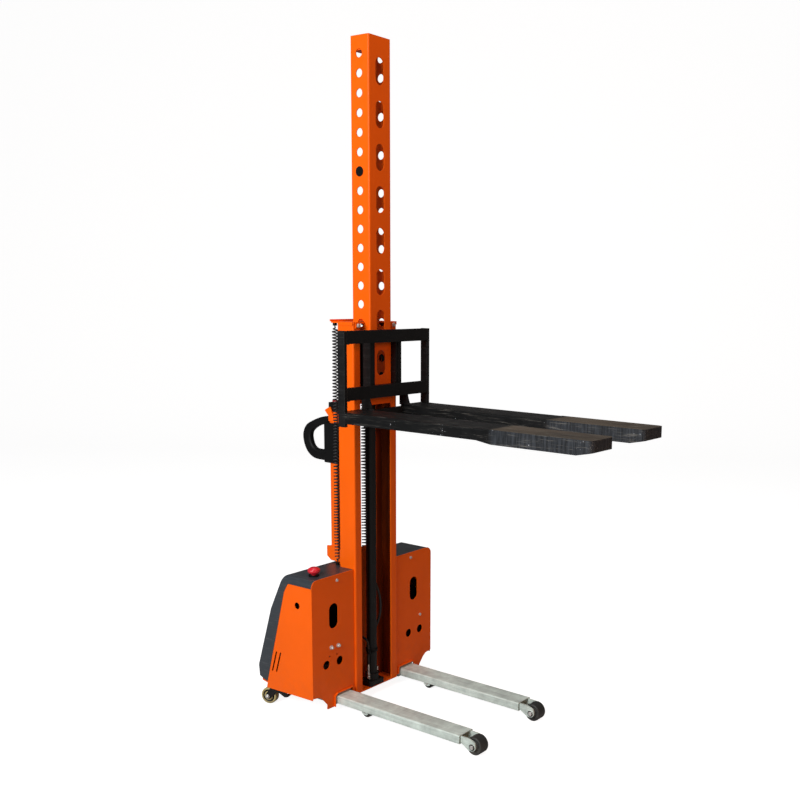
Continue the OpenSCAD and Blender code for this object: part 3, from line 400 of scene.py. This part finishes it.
def worn_fork_paint():
    """Black paint of the forks: brown film on the shoe's top, bluish streaks on its sides, chips."""
    material, g, shader, place = new_material("worn fork paint", Specular_IOR_Level=0.17)
    coat = g.group(COAT, Place=place, Color=(0.004, 0.0044, 0.0048), Gloss=0.42, Cloud=0.25)
    rub = g.group(SCUFF, Place=place, Amount=0.62)
    on_top = g.remap(g.axis(place, "Z"), FORK_TOP - 0.0012, FORK_TOP - 0.0004)
    shoe_start = FORK_TIP + SHOE_LENGTH
    on_shoe = g.remap(g.axis(place, "Y"), shoe_start + 0.012, shoe_start - 0.012)
    patchiness = g.noise(g.stretch(place, (9.0, 2.6, 9.0)), 1.0, 6.0, 0.68)
    top_film = g.times(on_top, on_shoe, g.remap(patchiness, 0.3, 0.62, 0.25, 0.95))
    colour = g.mix(g.times(top_film, 0.75), coat["Color"], (0.115, 0.092, 0.068))
    streaks = g.noise(g.stretch(place, (150.0, 150.0, 12.0)), 1.0, 4.0, 0.65)
    side_film = g.times(g.flip(on_top), on_shoe, g.remap(streaks, 0.38, 0.62, 0.25, 1.0))
    colour = g.mix(g.times(side_film, 0.55), colour, (0.075, 0.085, 0.1))
    marks = g.times(rub["Scratches"], g.remap(on_shoe, 0.0, 1.0, 0.35, 0.9))
    colour = g.mix(marks, colour, (0.2, 0.19, 0.17))
    knocked = g.times(g.remap(g.noise(place, 7.0, 2.0), 0.56, 0.6), g.flip(on_top))
    chips = g.times(g.remap(g.noise(place, 120.0, 1.0), 0.73, 0.76), knocked)
    g.feed(shader.inputs["Base Color"], g.mix(chips, colour, (0.4, 0.42, 0.45)))
    rough = g.maths("ADD", coat["Roughness"], g.times(top_film, 0.22), clamp=True)
    g.feed(shader.inputs["Roughness"], g.maths("SUBTRACT", rough, g.times(side_film, 0.08)))
    g.feed(shader.inputs["Normal"], g.bump(g.maths("ADD", coat["Height"], rub["Scratches"]), 0.00004))
    return material


def galvanised(name, colour, gloss, along=(1.0, 1.0, 1.0), metal=0.55, grime=0.3):
    """Zinc-coated steel: dull metal with streaks drawn out along the rolling, and cloudy patches."""
    material, g, shader, place = new_material(name, Metallic=metal)
    streak = g.noise(g.stretch(place, tuple(220.0 * k for k in along)), 1.0, 4.0, 0.6)
    patch = g.noise(place, 22.0, 5.0, 0.6)
    tone = g.maths("ADD", g.times(streak, 0.22), g.times(patch, 0.3))
    dark, pale = tuple(c * 0.72 for c in colour), tuple(min(1.0, c * 1.22) for c in colour)
    base = g.mix(g.remap(tone, 0.18, 0.34), dark, pale)
    dirt = g.group(GRIME, Place=place, Amount=grime, Reach=0.05)["Mask"]
    g.feed(shader.inputs["Base Color"], g.mix(dirt, base, DIRT))
    g.feed(shader.inputs["Roughness"], g.remap(tone, 0.15, 0.36, gloss - 0.08, gloss + 0.12))
    g.feed(shader.inputs["Normal"], g.bump(streak, 0.00005))
    return material


def moulded(name, colour, gloss, grain=900.0, depth=0.00006, cloud=0.12, **constants):
    """Moulded plastic or rubber: clouded colour, patchy shine and a fine moulded grain."""
    material, g, shader, place = new_material(name, **constants)
    coat = g.group(COAT, Place=place, Color=colour, Gloss=gloss, Cloud=cloud)
    cells = g.node("ShaderNodeTexVoronoi")
    g.feed(cells.inputs["Vector"], place)
    cells.inputs["Scale"].default_value = grain
    g.feed(shader.inputs["Base Color"], coat["Color"])
    g.feed(shader.inputs["Roughness"], coat["Roughness"])
    g.feed(shader.inputs["Normal"], g.bump(cells.outputs["Distance"], depth))
    return material


def wheel_tread(name, colour, gloss):
    """Cast wheel tread: mottled colour, pale scuffs and floor dust."""
    material, g, shader, place = new_material(name)
    coat = g.group(COAT, Place=place, Color=colour, Gloss=gloss, Cloud=0.12)
    marks = g.remap(g.noise(place, 150.0, 5.0, 0.7), 0.52, 0.66)
    dust = g.group(GRIME, Place=place, Amount=0.7, Reach=0.06)["Mask"]
    pale = tuple(min(1.0, c * 1.7 + 0.02) for c in colour)
    tone = g.mix(g.times(marks, 0.35), coat["Color"], pale)
    g.feed(shader.inputs["Base Color"], g.mix(dust, tone, (0.17, 0.15, 0.125)))
    g.feed(shader.inputs["Roughness"], g.maths("ADD", coat["Roughness"], g.times(marks, 0.2), clamp=True))
    g.feed(shader.inputs["Normal"], g.bump(marks, 0.0001))
    return material


ORANGE_COAT = dict(colour=(0.9, 0.12, 0.0025), gloss=0.34, cloud=0.035, grime=0.2, Specular_IOR_Level=0.14,
                   Coat_Weight=0.02, Coat_Roughness=0.15)
ORANGE = painted("orange powder coat", **ORANGE_COAT)
# The channels' coat carries painted shade, with some grease, inside them.
MAST_ORANGE = channel_shade_and_grease(painted("orange coat of the channels", **ORANGE_COAT))
BLACK = painted("black paint", (0.005, 0.0052, 0.0055), 0.42, cloud=0.2, grime=0.2,
                worn=0.2, bare=(0.05, 0.05, 0.05), Specular_IOR_Level=0.28)
FORK = worn_fork_paint()
COVER = painted("slate cover paint", (0.03, 0.038, 0.047), 0.36, cloud=0.1, dimples=0.00006, grime=0.35,
                worn=0.2, bare=(0.12, 0.13, 0.14))
LEG_ZINC = galvanised("rolled zinc of the legs", (0.61, 0.7, 0.65), 0.45, along=(1.0, 0.03, 1.0),
                      metal=0.2, grime=0.12)
PART_ZINC = galvanised("zinc-plated parts", (0.52, 0.52, 0.5), 0.34)
BRIGHT_ZINC = galvanised("bright zinc of bolts", (0.7, 0.7, 0.68), 0.24)
CHROME = galvanised("hard chrome", (0.72, 0.73, 0.75), 0.16, along=(0.3, 0.3, 1.0), metal=1.0)
RUBBER = moulded("cord and hose rubber", (0.012, 0.012, 0.013), 0.5, grain=700.0, depth=0.00004)
PLASTIC = moulded("moulded black plastic", (0.004, 0.0042, 0.0045), 0.44, Specular_IOR_Level=0.14)
RED = moulded("red plastic", (0.66, 0.012, 0.028), 0.3, depth=0.00002, cloud=0.05, Coat_Weight=0.3)
DULL_RED = moulded("dull red plastic", (0.3, 0.018, 0.02), 0.45, depth=0.00003)
LOAD_TREAD = wheel_tread("grey tread of the load wheels", (0.02, 0.0215, 0.0205), 0.5)
CASTER_TREAD = wheel_tread("yellowed tread of the casters", (0.42, 0.34, 0.14), 0.5)

FINISHES = {
    "orange": ORANGE, "black_paint": BLACK, "cover": COVER, "zinc": PART_ZINC, "steel": PART_ZINC,
    "chrome": CHROME, "black_plastic": PLASTIC, "red_plastic": RED,
    "polyurethane": LOAD_TREAD, "caster_tread": CASTER_TREAD, "hose_rubber": RUBBER,
}
OWN_FINISH = {"body_bolts": BRIGHT_ZINC, "horn_button": DULL_RED, "oil_tank": BLACK, "control_unit": PLASTIC}
for kind, finish in (("fork", FORK), ("leg", LEG_ZINC), ("leg_axles", BRIGHT_ZINC), ("mast", MAST_ORANGE)):
    OWN_FINISH[kind + "_left"] = OWN_FINISH[kind + "_right"] = finish
SLOT_OF = {part["node"]: part["material_slot"] for part in frame["record"]["subparts"]}


def finish_of(node):
    """The finish that a node wears."""
    return OWN_FINISH.get(node) or FINISHES[SLOT_OF[node]]


for node, shape in nodes.items():
    shape.data.materials.clear()
    shape.data.materials.append(finish_of(node))

# Widths of the rounded edges of folded sheet, rolled section and plate
EDGES = {"mast_left": 0.0008, "mast_right": 0.0008, "mast_crosshead": 0.001, "mast_rear_panel": 0.0006,
         "box_shell_left": 0.0008, "box_shell_right": 0.0008, "chassis_frame": 0.001,
         "lift_column": 0.0008, "column_head": 0.0008, "fork_carriage": 0.0015, "backrest": 0.0018,
         "fork_left": 0.0022, "fork_right": 0.0022, "handle_post": 0.0008, "post_brackets": 0.001,
         "leg_left": 0.001, "leg_right": 0.001, "control_head": 0.0015, "body_bolts": 0.0005}
for node, width in EDGES.items():
    softened(node, width)


# Room, light and camera. Yaw turns from +y toward +x, and pitch looks down

CAMERA_YAW = math.radians(55.2366)
CAMERA_PITCH = math.radians(9.8177)
CAMERA_ROLL = math.radians(1.0492)
CAMERA_PLACE = (-3.2298, MAST_Y - 2.9796, 1.8041)


def make_floor():
    """Pale floor that rises into a backdrop: flat, then a quarter circle, then upright."""
    across = np.linspace(-9, 9, 9)
    bend = np.linspace(0, np.pi / 2, 13)
    radius, back = 3.0, 7.0
    along = np.concatenate([[-9, -3], back + radius * np.sin(bend), [back + radius]])
    rise = np.concatenate([[0, 0], radius * (1 - np.cos(bend)), [9.0]])
    points = np.array([[x, y, z] for y, z in zip(along, rise) for x in across])
    points = points @ np.array(Matrix.Rotation(-CAMERA_YAW, 3, "Z")).T
    mesh = bpy.data.meshes.new("floor")
    faces = grid_faces(len(along), len(across), closed_columns=False)
    mesh.from_pydata([tuple(p) for p in points], [], faces)
    mesh.polygons.foreach_set("use_smooth", np.ones(len(mesh.polygons), bool))
    floor = bpy.data.objects.new("floor", mesh)
    bpy.context.collection.objects.link(floor)
    material = bpy.data.materials.new("white floor")
    material.use_nodes = True
    g = Graph(material.node_tree)
    shader = material.node_tree.nodes["Principled BSDF"]
    shader.inputs["Base Color"].default_value = (0.4, 0.4, 0.4, 1)
    shader.inputs["Roughness"].default_value = 0.9
    shader.inputs["Specular IOR Level"].default_value = 0.1
    path = g.node("ShaderNodeLightPath")
    seen = g.maths("MAXIMUM", path.outputs["Is Camera Ray"], path.outputs["Is Transmission Ray"])
    shader.inputs["Emission Color"].default_value = (1, 1, 1, 1)
    g.feed(shader.inputs["Emission Strength"], g.maths("MULTIPLY", seen, 0.9))
    mesh.materials.append(material)


def make_camera():
    """Camera at the photograph's place and angle; its shift sets the photograph's crop."""
    ahead = Vector((math.sin(CAMERA_YAW) * math.cos(CAMERA_PITCH),
                    math.cos(CAMERA_YAW) * math.cos(CAMERA_PITCH), -math.sin(CAMERA_PITCH)))
    right = Vector((math.cos(CAMERA_YAW), -math.sin(CAMERA_YAW), 0))
    up = right.cross(ahead)
    side = right * math.cos(CAMERA_ROLL) + up * math.sin(CAMERA_ROLL)
    top = up * math.cos(CAMERA_ROLL) - right * math.sin(CAMERA_ROLL)
    data = bpy.data.cameras.new("camera")
    data.sensor_width = 36.0
    data.lens = 46.195
    data.shift_x = -0.1462
    data.shift_y = 0.0816
    data.clip_end = 60
    camera = bpy.data.objects.new("camera", data)
    turn = Matrix(((side.x, top.x, -ahead.x), (side.y, top.y, -ahead.y), (side.z, top.z, -ahead.z)))
    camera.matrix_world = Matrix.Translation(CAMERA_PLACE) @ turn.to_4x4()
    bpy.context.collection.objects.link(camera)
    bpy.context.scene.camera = camera


def area_light(name, place, target, size, power, colour=(1, 1, 1)):
    """A square soft lamp at a place, turned toward a target."""
    data = bpy.data.lights.new(name, "AREA")
    data.shape = "SQUARE"
    data.size = size
    data.energy = power
    data.color = colour
    lamp = bpy.data.objects.new(name, data)
    lamp.location = place
    lamp.rotation_euler = (Vector(target) - Vector(place)).to_track_quat("-Z", "Y").to_euler()
    bpy.context.collection.objects.link(lamp)


def make_world():
    """Even pale surroundings that fill the shadows, and are seen as white."""
    world = bpy.data.worlds.new("surroundings")
    bpy.context.scene.world = world
    world.use_nodes = True
    background = world.node_tree.nodes["Background"]
    background.inputs["Color"].default_value = (1, 1, 1, 1)
    g = Graph(world.node_tree)
    seen = g.node("ShaderNodeLightPath").outputs["Is Camera Ray"]
    g.feed(background.inputs["Strength"], g.remap(seen, 0.0, 1.0, 0.1, 1.0))


make_floor()
make_camera()
make_world()
area_light("left window", (-5.0, 0.2, 3.2), (0, 0.4, 1.2), 2.6, 295)
area_light("front soft box", (-1.2, -5.2, 3.4), (0, 0.3, 1.0), 2.4, 74, (1.0, 0.5, 0.3))
area_light("ceiling", (0.2, 0.0, 5.2), (0, 0.2, 0), 3.0, 85)
bpy.context.scene.view_settings.view_transform = "Standard"


# Cords and hose

CORD_A = (-0.118, MAST_Y + 0.119)
CORD_B = (0.050, MAST_Y + 0.117)
CORD_THICK = 0.0055
COIL_ACROSS = 0.027
CURLS = 76


def curly_cord(name, at, low, high, curls, node):
    """Curly cord: place(t) = axis + R(t) (cos 2 pi t, sin 2 pi t) and a slow sway.

    t runs from 0 to the number of curls. The height rises almost evenly, and R(t) grows over the
    first curl and shrinks over the last.
    """
    t = np.linspace(0, curls, curls * 14 + 1)
    turn = 2 * np.pi * t
    reach = (COIL_ACROSS - CORD_THICK) / 2 * np.clip(np.minimum(t, curls - t), 0, 1)
    sway = 0.0012 * np.sin(2 * np.pi * t / 23.0 + at[0] * 40)
    lead = 1.2 * CORD_THICK
    height = low + lead + (high - low - 2 * lead) * (t / curls + 0.004 * np.sin(2 * np.pi * t / 31.0))
    across = at[0] + reach * np.cos(turn) + sway * (reach > 0)
    route = np.stack([across, at[1] + reach * np.sin(turn), height], axis=1)
    route = np.vstack([[at[0], at[1], low], route, [at[0], at[1], high]])
    out = np.stack([np.cos(turn), np.sin(turn), 0 * turn], axis=1)
    out = np.vstack([out[:1], out, out[-1:]])
    points, faces = swept(route, CORD_THICK / 2, 9, out)
    cord = make_piece(name, points, faces, "chassis", RUBBER)
    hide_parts(node)


for letter, at, node in (("left", CORD_A, "curly_cord_left"), ("right", CORD_B, "curly_cord_right")):
    low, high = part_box(node)
    curly_cord(f"curly_cord_{letter}_wound", at, low[2], high[2], CURLS, node)


def hexagon(radius, low, high, axis, at):
    """Hexagon nut or bolt head: six corners, drawn in over the outer fifth of its height."""
    a = np.arange(6) * np.pi / 3
    ring = np.column_stack([np.cos(a), np.sin(a)])
    step = high - (high - low) * 0.2
    levels = [(1.0, low), (1.0, step), (0.9, high)]
    order = {"z": [0, 1, 2], "x": [2, 0, 1], "y": [1, 2, 0]}[axis]
    points = np.vstack([np.column_stack([ring * radius * k, np.full(6, h)]) for k, h in levels])[:, order]
    return points + np.asarray(at, float), grid_faces(3, 6) + end_faces(3, 6)


def make_hose():
    """Overflow hose behind the barrel, with a crimped ferrule at each end.

    Along its slack s runs from 0 to 1: x = side + bulge s and y = back - drop s.
    """
    thick, side, back, bulge, drop = 0.012, 0.029, 0.048, 0.022, 0.022
    slack = np.array([(1.352, 0), (1.1, 0), (0.9, 0), (0.56, 0), (0.535, 0.05), (0.5, 0.3), (0.465, 0.68),
                      (0.43, 0.93), (0.395, 1), (0.36, 0.93), (0.325, 0.65), (0.295, 0.28), (0.265, 0.05),
                      (0.225, 0), (0.14, 0)])
    run = np.column_stack([side + bulge * slack[:, 1], back - drop * slack[:, 1], slack[:, 0]])
    head = [(side + 0.004, back, 1.386), (side + 0.004, back, 1.374)]
    foot = [(side + 0.009, back - 0.005, 0.112), (side + 0.013, back - 0.006, 0.106),
            (side + 0.013, back - 0.006, 0.092)]
    route = smooth_route(np.vstack([head, run, foot]) + [0, MAST_Y, 0])
    hose = make_piece("hydraulic_hose_run", *swept(route, thick / 2, 16), "chassis", RUBBER)
    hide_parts("hydraulic_hose")
    crimp_long = 0.0168
    crimp = [(0.0062, 0), (0.0076, 0.0006), (0.0076, 0.005), (0.0069, 0.0056), (0.0076, 0.0062),
             (0.0076, 0.0105), (0.0069, 0.0111), (0.0076, 0.0117), (0.0076, 0.016), (0.0062, crimp_long)]
    top, low = route[0], route[-1]
    parts = [turned(crimp, 24, "z", (top[0], top[1], top[2] - crimp_long)),
             turned(crimp, 24, "z", tuple(low))]
    make_piece("hose_ferrules", *merge(parts), "chassis", BRIGHT_ZINC)


def make_pressure_line():
    """Pressure line at the barrel's foot: plated pipe with its nut, then black hose; a clamp."""
    x, y, low, high = -0.0335, MAST_Y + 0.021, 0.082, 0.225
    pipe_end = 0.148
    barrel_y = MAST_Y + 0.032
    places = [(-0.024, y, 0.076), (-0.030, y, 0.0775), (x, y, 0.084), (x, y, 0.12), (x, y, 0.19),
              (x, y, high), (x + 0.004, y + 0.012, high + 0.026),
              (x + 0.006, y + 0.040, high + 0.036), (x + 0.006, y + 0.068, high + 0.038)]
    route = smooth_route(places)
    plated = int(np.argmax(route[:, 2] > pipe_end))
    make_piece("pressure_pipe", *swept(route[:plated + 1], 0.0042, 14), "chassis", BRIGHT_ZINC)
    make_piece("pressure_hose", *swept(route[plated - 1:], 0.0052, 14), "chassis", RUBBER)
    nut = [(0.0043, 0), (0.0062, 0.0008), (0.0062, 0.010), (0.0043, 0.011)]
    parts = [hexagon(0.0078, low, low + 0.012, "z", (x, y, 0)), turned(nut, 24, "z", (x, y, low + 0.012))]
    make_piece("pressure_union", *merge(parts), "chassis", BRIGHT_ZINC)
    band = hollow_ring([(0.0232, 0), (0.0262, 0.001), (0.0262, 0.017), (0.0232, 0.018)], 48, "z",
                       (0, barrel_y, 0.196))
    grip = turned([(0.0043, 0), (0.009, 0.001), (0.009, 0.023), (0.0043, 0.024)], 24, "z", (x, y, 0.193))
    make_piece("pressure_clamp", *merge([band, grip]), "chassis", PLASTIC)


make_hose()
make_pressure_line()


# Handle

def rounded_loop(x0, x1, y0, y1, radius, steps=7):
    """Rectangle with quarter-circle corners: corner centre + radius (cos a, sin a)."""
    quarter = np.pi / 2
    corners = [(x1 - radius, y1 - radius), (x0 + radius, y1 - radius),
               (x0 + radius, y0 + radius), (x1 - radius, y0 + radius)]
    arcs = []
    for k, (cx, cy) in enumerate(corners):
        a = np.linspace(0, quarter, steps) + k * quarter
        arcs.append(np.column_stack([cx + radius * np.cos(a), cy + radius * np.sin(a)]))
    return np.vstack(arcs)


def sleeve(outer, inner, low, high, ease=0.002):
    """Tube between two loops of as many points, its outer rim eased by a small chamfer."""
    middle = outer.mean(axis=0)
    drawn = middle + (outer - middle) * (1 - ease / np.abs(outer - middle).max())
    rings = [(inner, low), (drawn, low), (outer, low + ease),
             (outer, high - ease), (drawn, high), (inner, high)]
    points = np.vstack([np.column_stack([loop, np.full(len(loop), z)]) for loop, z in rings])
    return points, grid_faces(len(rings), len(outer), closed_rows=True)


def d_grip(x, y, half_thick):
    """Bow of the D-handle: superellipse sections carried round its middle line in the Y-Z plane."""
    middle = np.array([(0.010, 1.226), (0.036, 1.225), (0.073, 1.216), (0.113, 1.199), (0.143, 1.178),
                       (0.155, 1.150), (0.150, 1.117), (0.134, 1.089), (0.106, 1.072), (0.066, 1.069),
                       (0.034, 1.069), (0.010, 1.069)])
    wide = np.array([0.016, 0.016, 0.0165, 0.018, 0.022, 0.0245, 0.0245, 0.024] + 4 * [0.0235])
    line = smooth_route(np.column_stack([middle, wide]))
    route = np.column_stack([np.full(len(line), x), y + line[:, 0], line[:, 1]])
    along = unit(np.gradient(route, axis=0))
    out = np.cross(along, [1.0, 0.0, 0.0])
    v = np.linspace(0, 2 * np.pi, 28, endpoint=False)
    power = 0.62
    c, q = (np.sign(wave) * np.abs(wave) ** power for wave in (np.cos(v), np.sin(v)))
    rings = (route[:, None] + line[:, 2][:, None, None] * c[None, :, None] * out[:, None]
             + half_thick * q[None, :, None] * np.array([1.0, 0.0, 0.0]))
    return rings.reshape(-1, 3), grid_faces(len(route), len(v)) + end_faces(len(route), len(v))


def make_d_handle():
    """Moulded handle: the sleeve on the post and the bow."""
    (x0, y0, _), (x1, _, _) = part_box("d_handle")
    (px0, py0, _), (px1, py1, _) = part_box("handle_post")
    gap = 0.0001
    outer = rounded_loop(x0, x1, y0, py1 + 0.031, 0.009)
    inner = rounded_loop(px0 - gap, px1 + gap, py0 - gap, py1 + gap, 0.006)
    sleeve_low, sleeve_high = 1.043, 1.217
    parts = [sleeve(outer, inner, sleeve_low, sleeve_high), d_grip((px0 + px1) / 2, py1, 0.0148)]
    handle = make_piece("d_handle_moulded", *merge(parts), "chassis", PLASTIC)
    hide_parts("d_handle")
    bevelled(handle, 0.0008, 50)


make_d_handle()


# Small parts

def weld(route, radius=0.0026, ripple=0.0042):
    """Bead along a seam: tube whose radius swells and shrinks once for each ripple of the torch."""
    route = np.asarray(route, float)
    length = np.linalg.norm(np.diff(route, axis=0), axis=1).sum()
    count = max(6, int(length / ripple * 4))
    t = np.linspace(0, 1, count)
    reach = np.concatenate([[0], np.cumsum(np.linalg.norm(np.diff(route, axis=0), axis=1))]) / length
    dense = np.column_stack([np.interp(t, reach, route[:, k]) for k in range(3)])
    wobble = 1 + 0.16 * np.sin(2 * np.pi * t * length / ripple) + 0.08 * np.sin(9.7 * t * length / ripple)
    ends = np.clip(np.minimum(t, 1 - t) * length / 0.003 + 0.3, 0, 1)
    return swept(dense, radius * wobble * ends, 8)


def weld_pieces():
    """Seams of the backrest, the forks, the crosshead and the handle brackets."""
    (x0, y0, _), (x1, y1, z1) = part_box("backrest")
    post, bar, deep = 0.016, 0.052, 0.016
    seams = []
    for x in (x0 + post, x1 - post):
        for low in (z1 - bar, FORK_TOP + 0.045):
            seams.append(weld([(x, y0 + deep, low), (x, y0 + deep, low + bar)]))
            seams.append(weld([(x, y0 + 0.001, low), (x, y0 + deep, low)], 0.002))
    make_piece("weld_backrest", *merge(seams), "lift", BLACK)
    seams = []
    for side, node in ((-1, "fork_left"), (1, "fork_right")):
        low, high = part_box(node)
        inner, outer = (high[0], low[0]) if side < 0 else (low[0], high[0])
        seam_x = inner + side * 0.0075
        seams.append(weld([(outer - side * 0.001, y0, FORK_TOP - 0.004), (outer - side * post, y0, FORK_TOP)],
                          0.0022))
        seams.append(weld([(seam_x, y0 - 0.012, FORK_TOP), (seam_x, y1 - 0.004, FORK_TOP)], 0.0024))
    make_piece("weld_forks", *merge(seams), "lift", BLACK)
    side_z, back_z, back_y = MAST_TOP - 0.001, MAST_TOP - 0.0005, MAST_Y + 0.092
    seams = [weld([(s * 0.1335, MAST_Y + 0.008, side_z), (s * 0.1335, MAST_Y + 0.084, side_z)], 0.002)
             for s in (-1, 1)]
    seams += [weld([(s * 0.0945, back_y, back_z), (s * 0.128, back_y, back_z)], 0.002) for s in (-1, 1)]
    bracket_x, bracket_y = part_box("post_brackets")[0][0] + 0.025, MAST_Y + 0.1005
    seams.append(weld([(bracket_x, bracket_y, 0.612), (bracket_x, bracket_y, 0.672)], 0.002))
    make_piece("weld_mast", *merge(seams), "chassis", ORANGE)


SPIN_AXIS = {joint["name"]: joint["axis"] for joint in frame["joints"]}


def on_caster(name, points):
    """Points made round the X axis, turned to a caster wheel's axle and set at its centre."""
    centre = np.mean(np.array(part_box(f"caster_wheel_{name}"), float), axis=0)
    axis = np.array(SPIN_AXIS[f"caster_wheel_{name}_spin"], float)
    return points @ np.array([[axis[0], axis[1], 0], [-axis[1], axis[0], 0], [0, 0, 1]]) + centre


def caster_nuts(name):
    """Bright axle nuts and washers of a caster, turned with its fork."""
    parts = [hexagon(0.0075, s * 0.0238, s * 0.0295, "x", (0, 0, 0)) for s in (-1, 1)]
    washer = [(0.001, 0.0232), (0.0095, 0.0232), (0.0095, 0.0244), (0.001, 0.0244)]
    parts += [turned([(r, s * h) for r, h in washer], 24, "x") for s in (-1, 1)]
    points, faces = merge(parts)
    make_piece(f"caster_nuts_{name}", on_caster(name, points), faces, f"caster_{name}_body", BRIGHT_ZINC)


def hub_covers(name):
    """Black dished hub of a caster wheel on both sides, with a raised rim and a bearing ring."""
    profile = [(0.0055, 0.0147), (0.0105, 0.0147), (0.0115, 0.0136), (0.017, 0.0128), (0.0225, 0.0136),
               (0.0235, 0.0149), (0.0255, 0.0149), (0.0262, 0.0142), (0.0262, 0.012), (0.0055, 0.012)]
    points, faces = merge([turned([(r, s * h) for r, h in profile], 40, "x") for s in (-1, 1)])
    make_piece(f"caster_hubs_{name}", on_caster(name, points), faces, f"caster_wheel_{name}_body", BLACK)


def axle_rings(name):
    """Dark ring round the bolt of a load wheel's axle, on both cheeks of the leg."""
    ring = [(0.0092, 0), (0.0131, 0), (0.0131, 0.0007), (0.0092, 0.0007)]
    bolt_head = 0.004
    low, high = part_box(f"leg_axles_{name}")
    centre = np.mean(np.array(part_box(f"load_wheel_{name}"), float), axis=0)
    parts = [hollow_ring([(r, s * h) for r, h in ring], 32, "x", (x, centre[1], centre[2]))
             for x, s in ((low[0] + bolt_head, -1), (high[0] - bolt_head, 1))]
    make_piece(f"axle_rings_{name}", *merge(parts), f"leg_{name}_body", BLACK)


weld_pieces()
for make in (caster_nuts, hub_covers, axle_rings):
    for name in ("left", "right"):
        make(name)
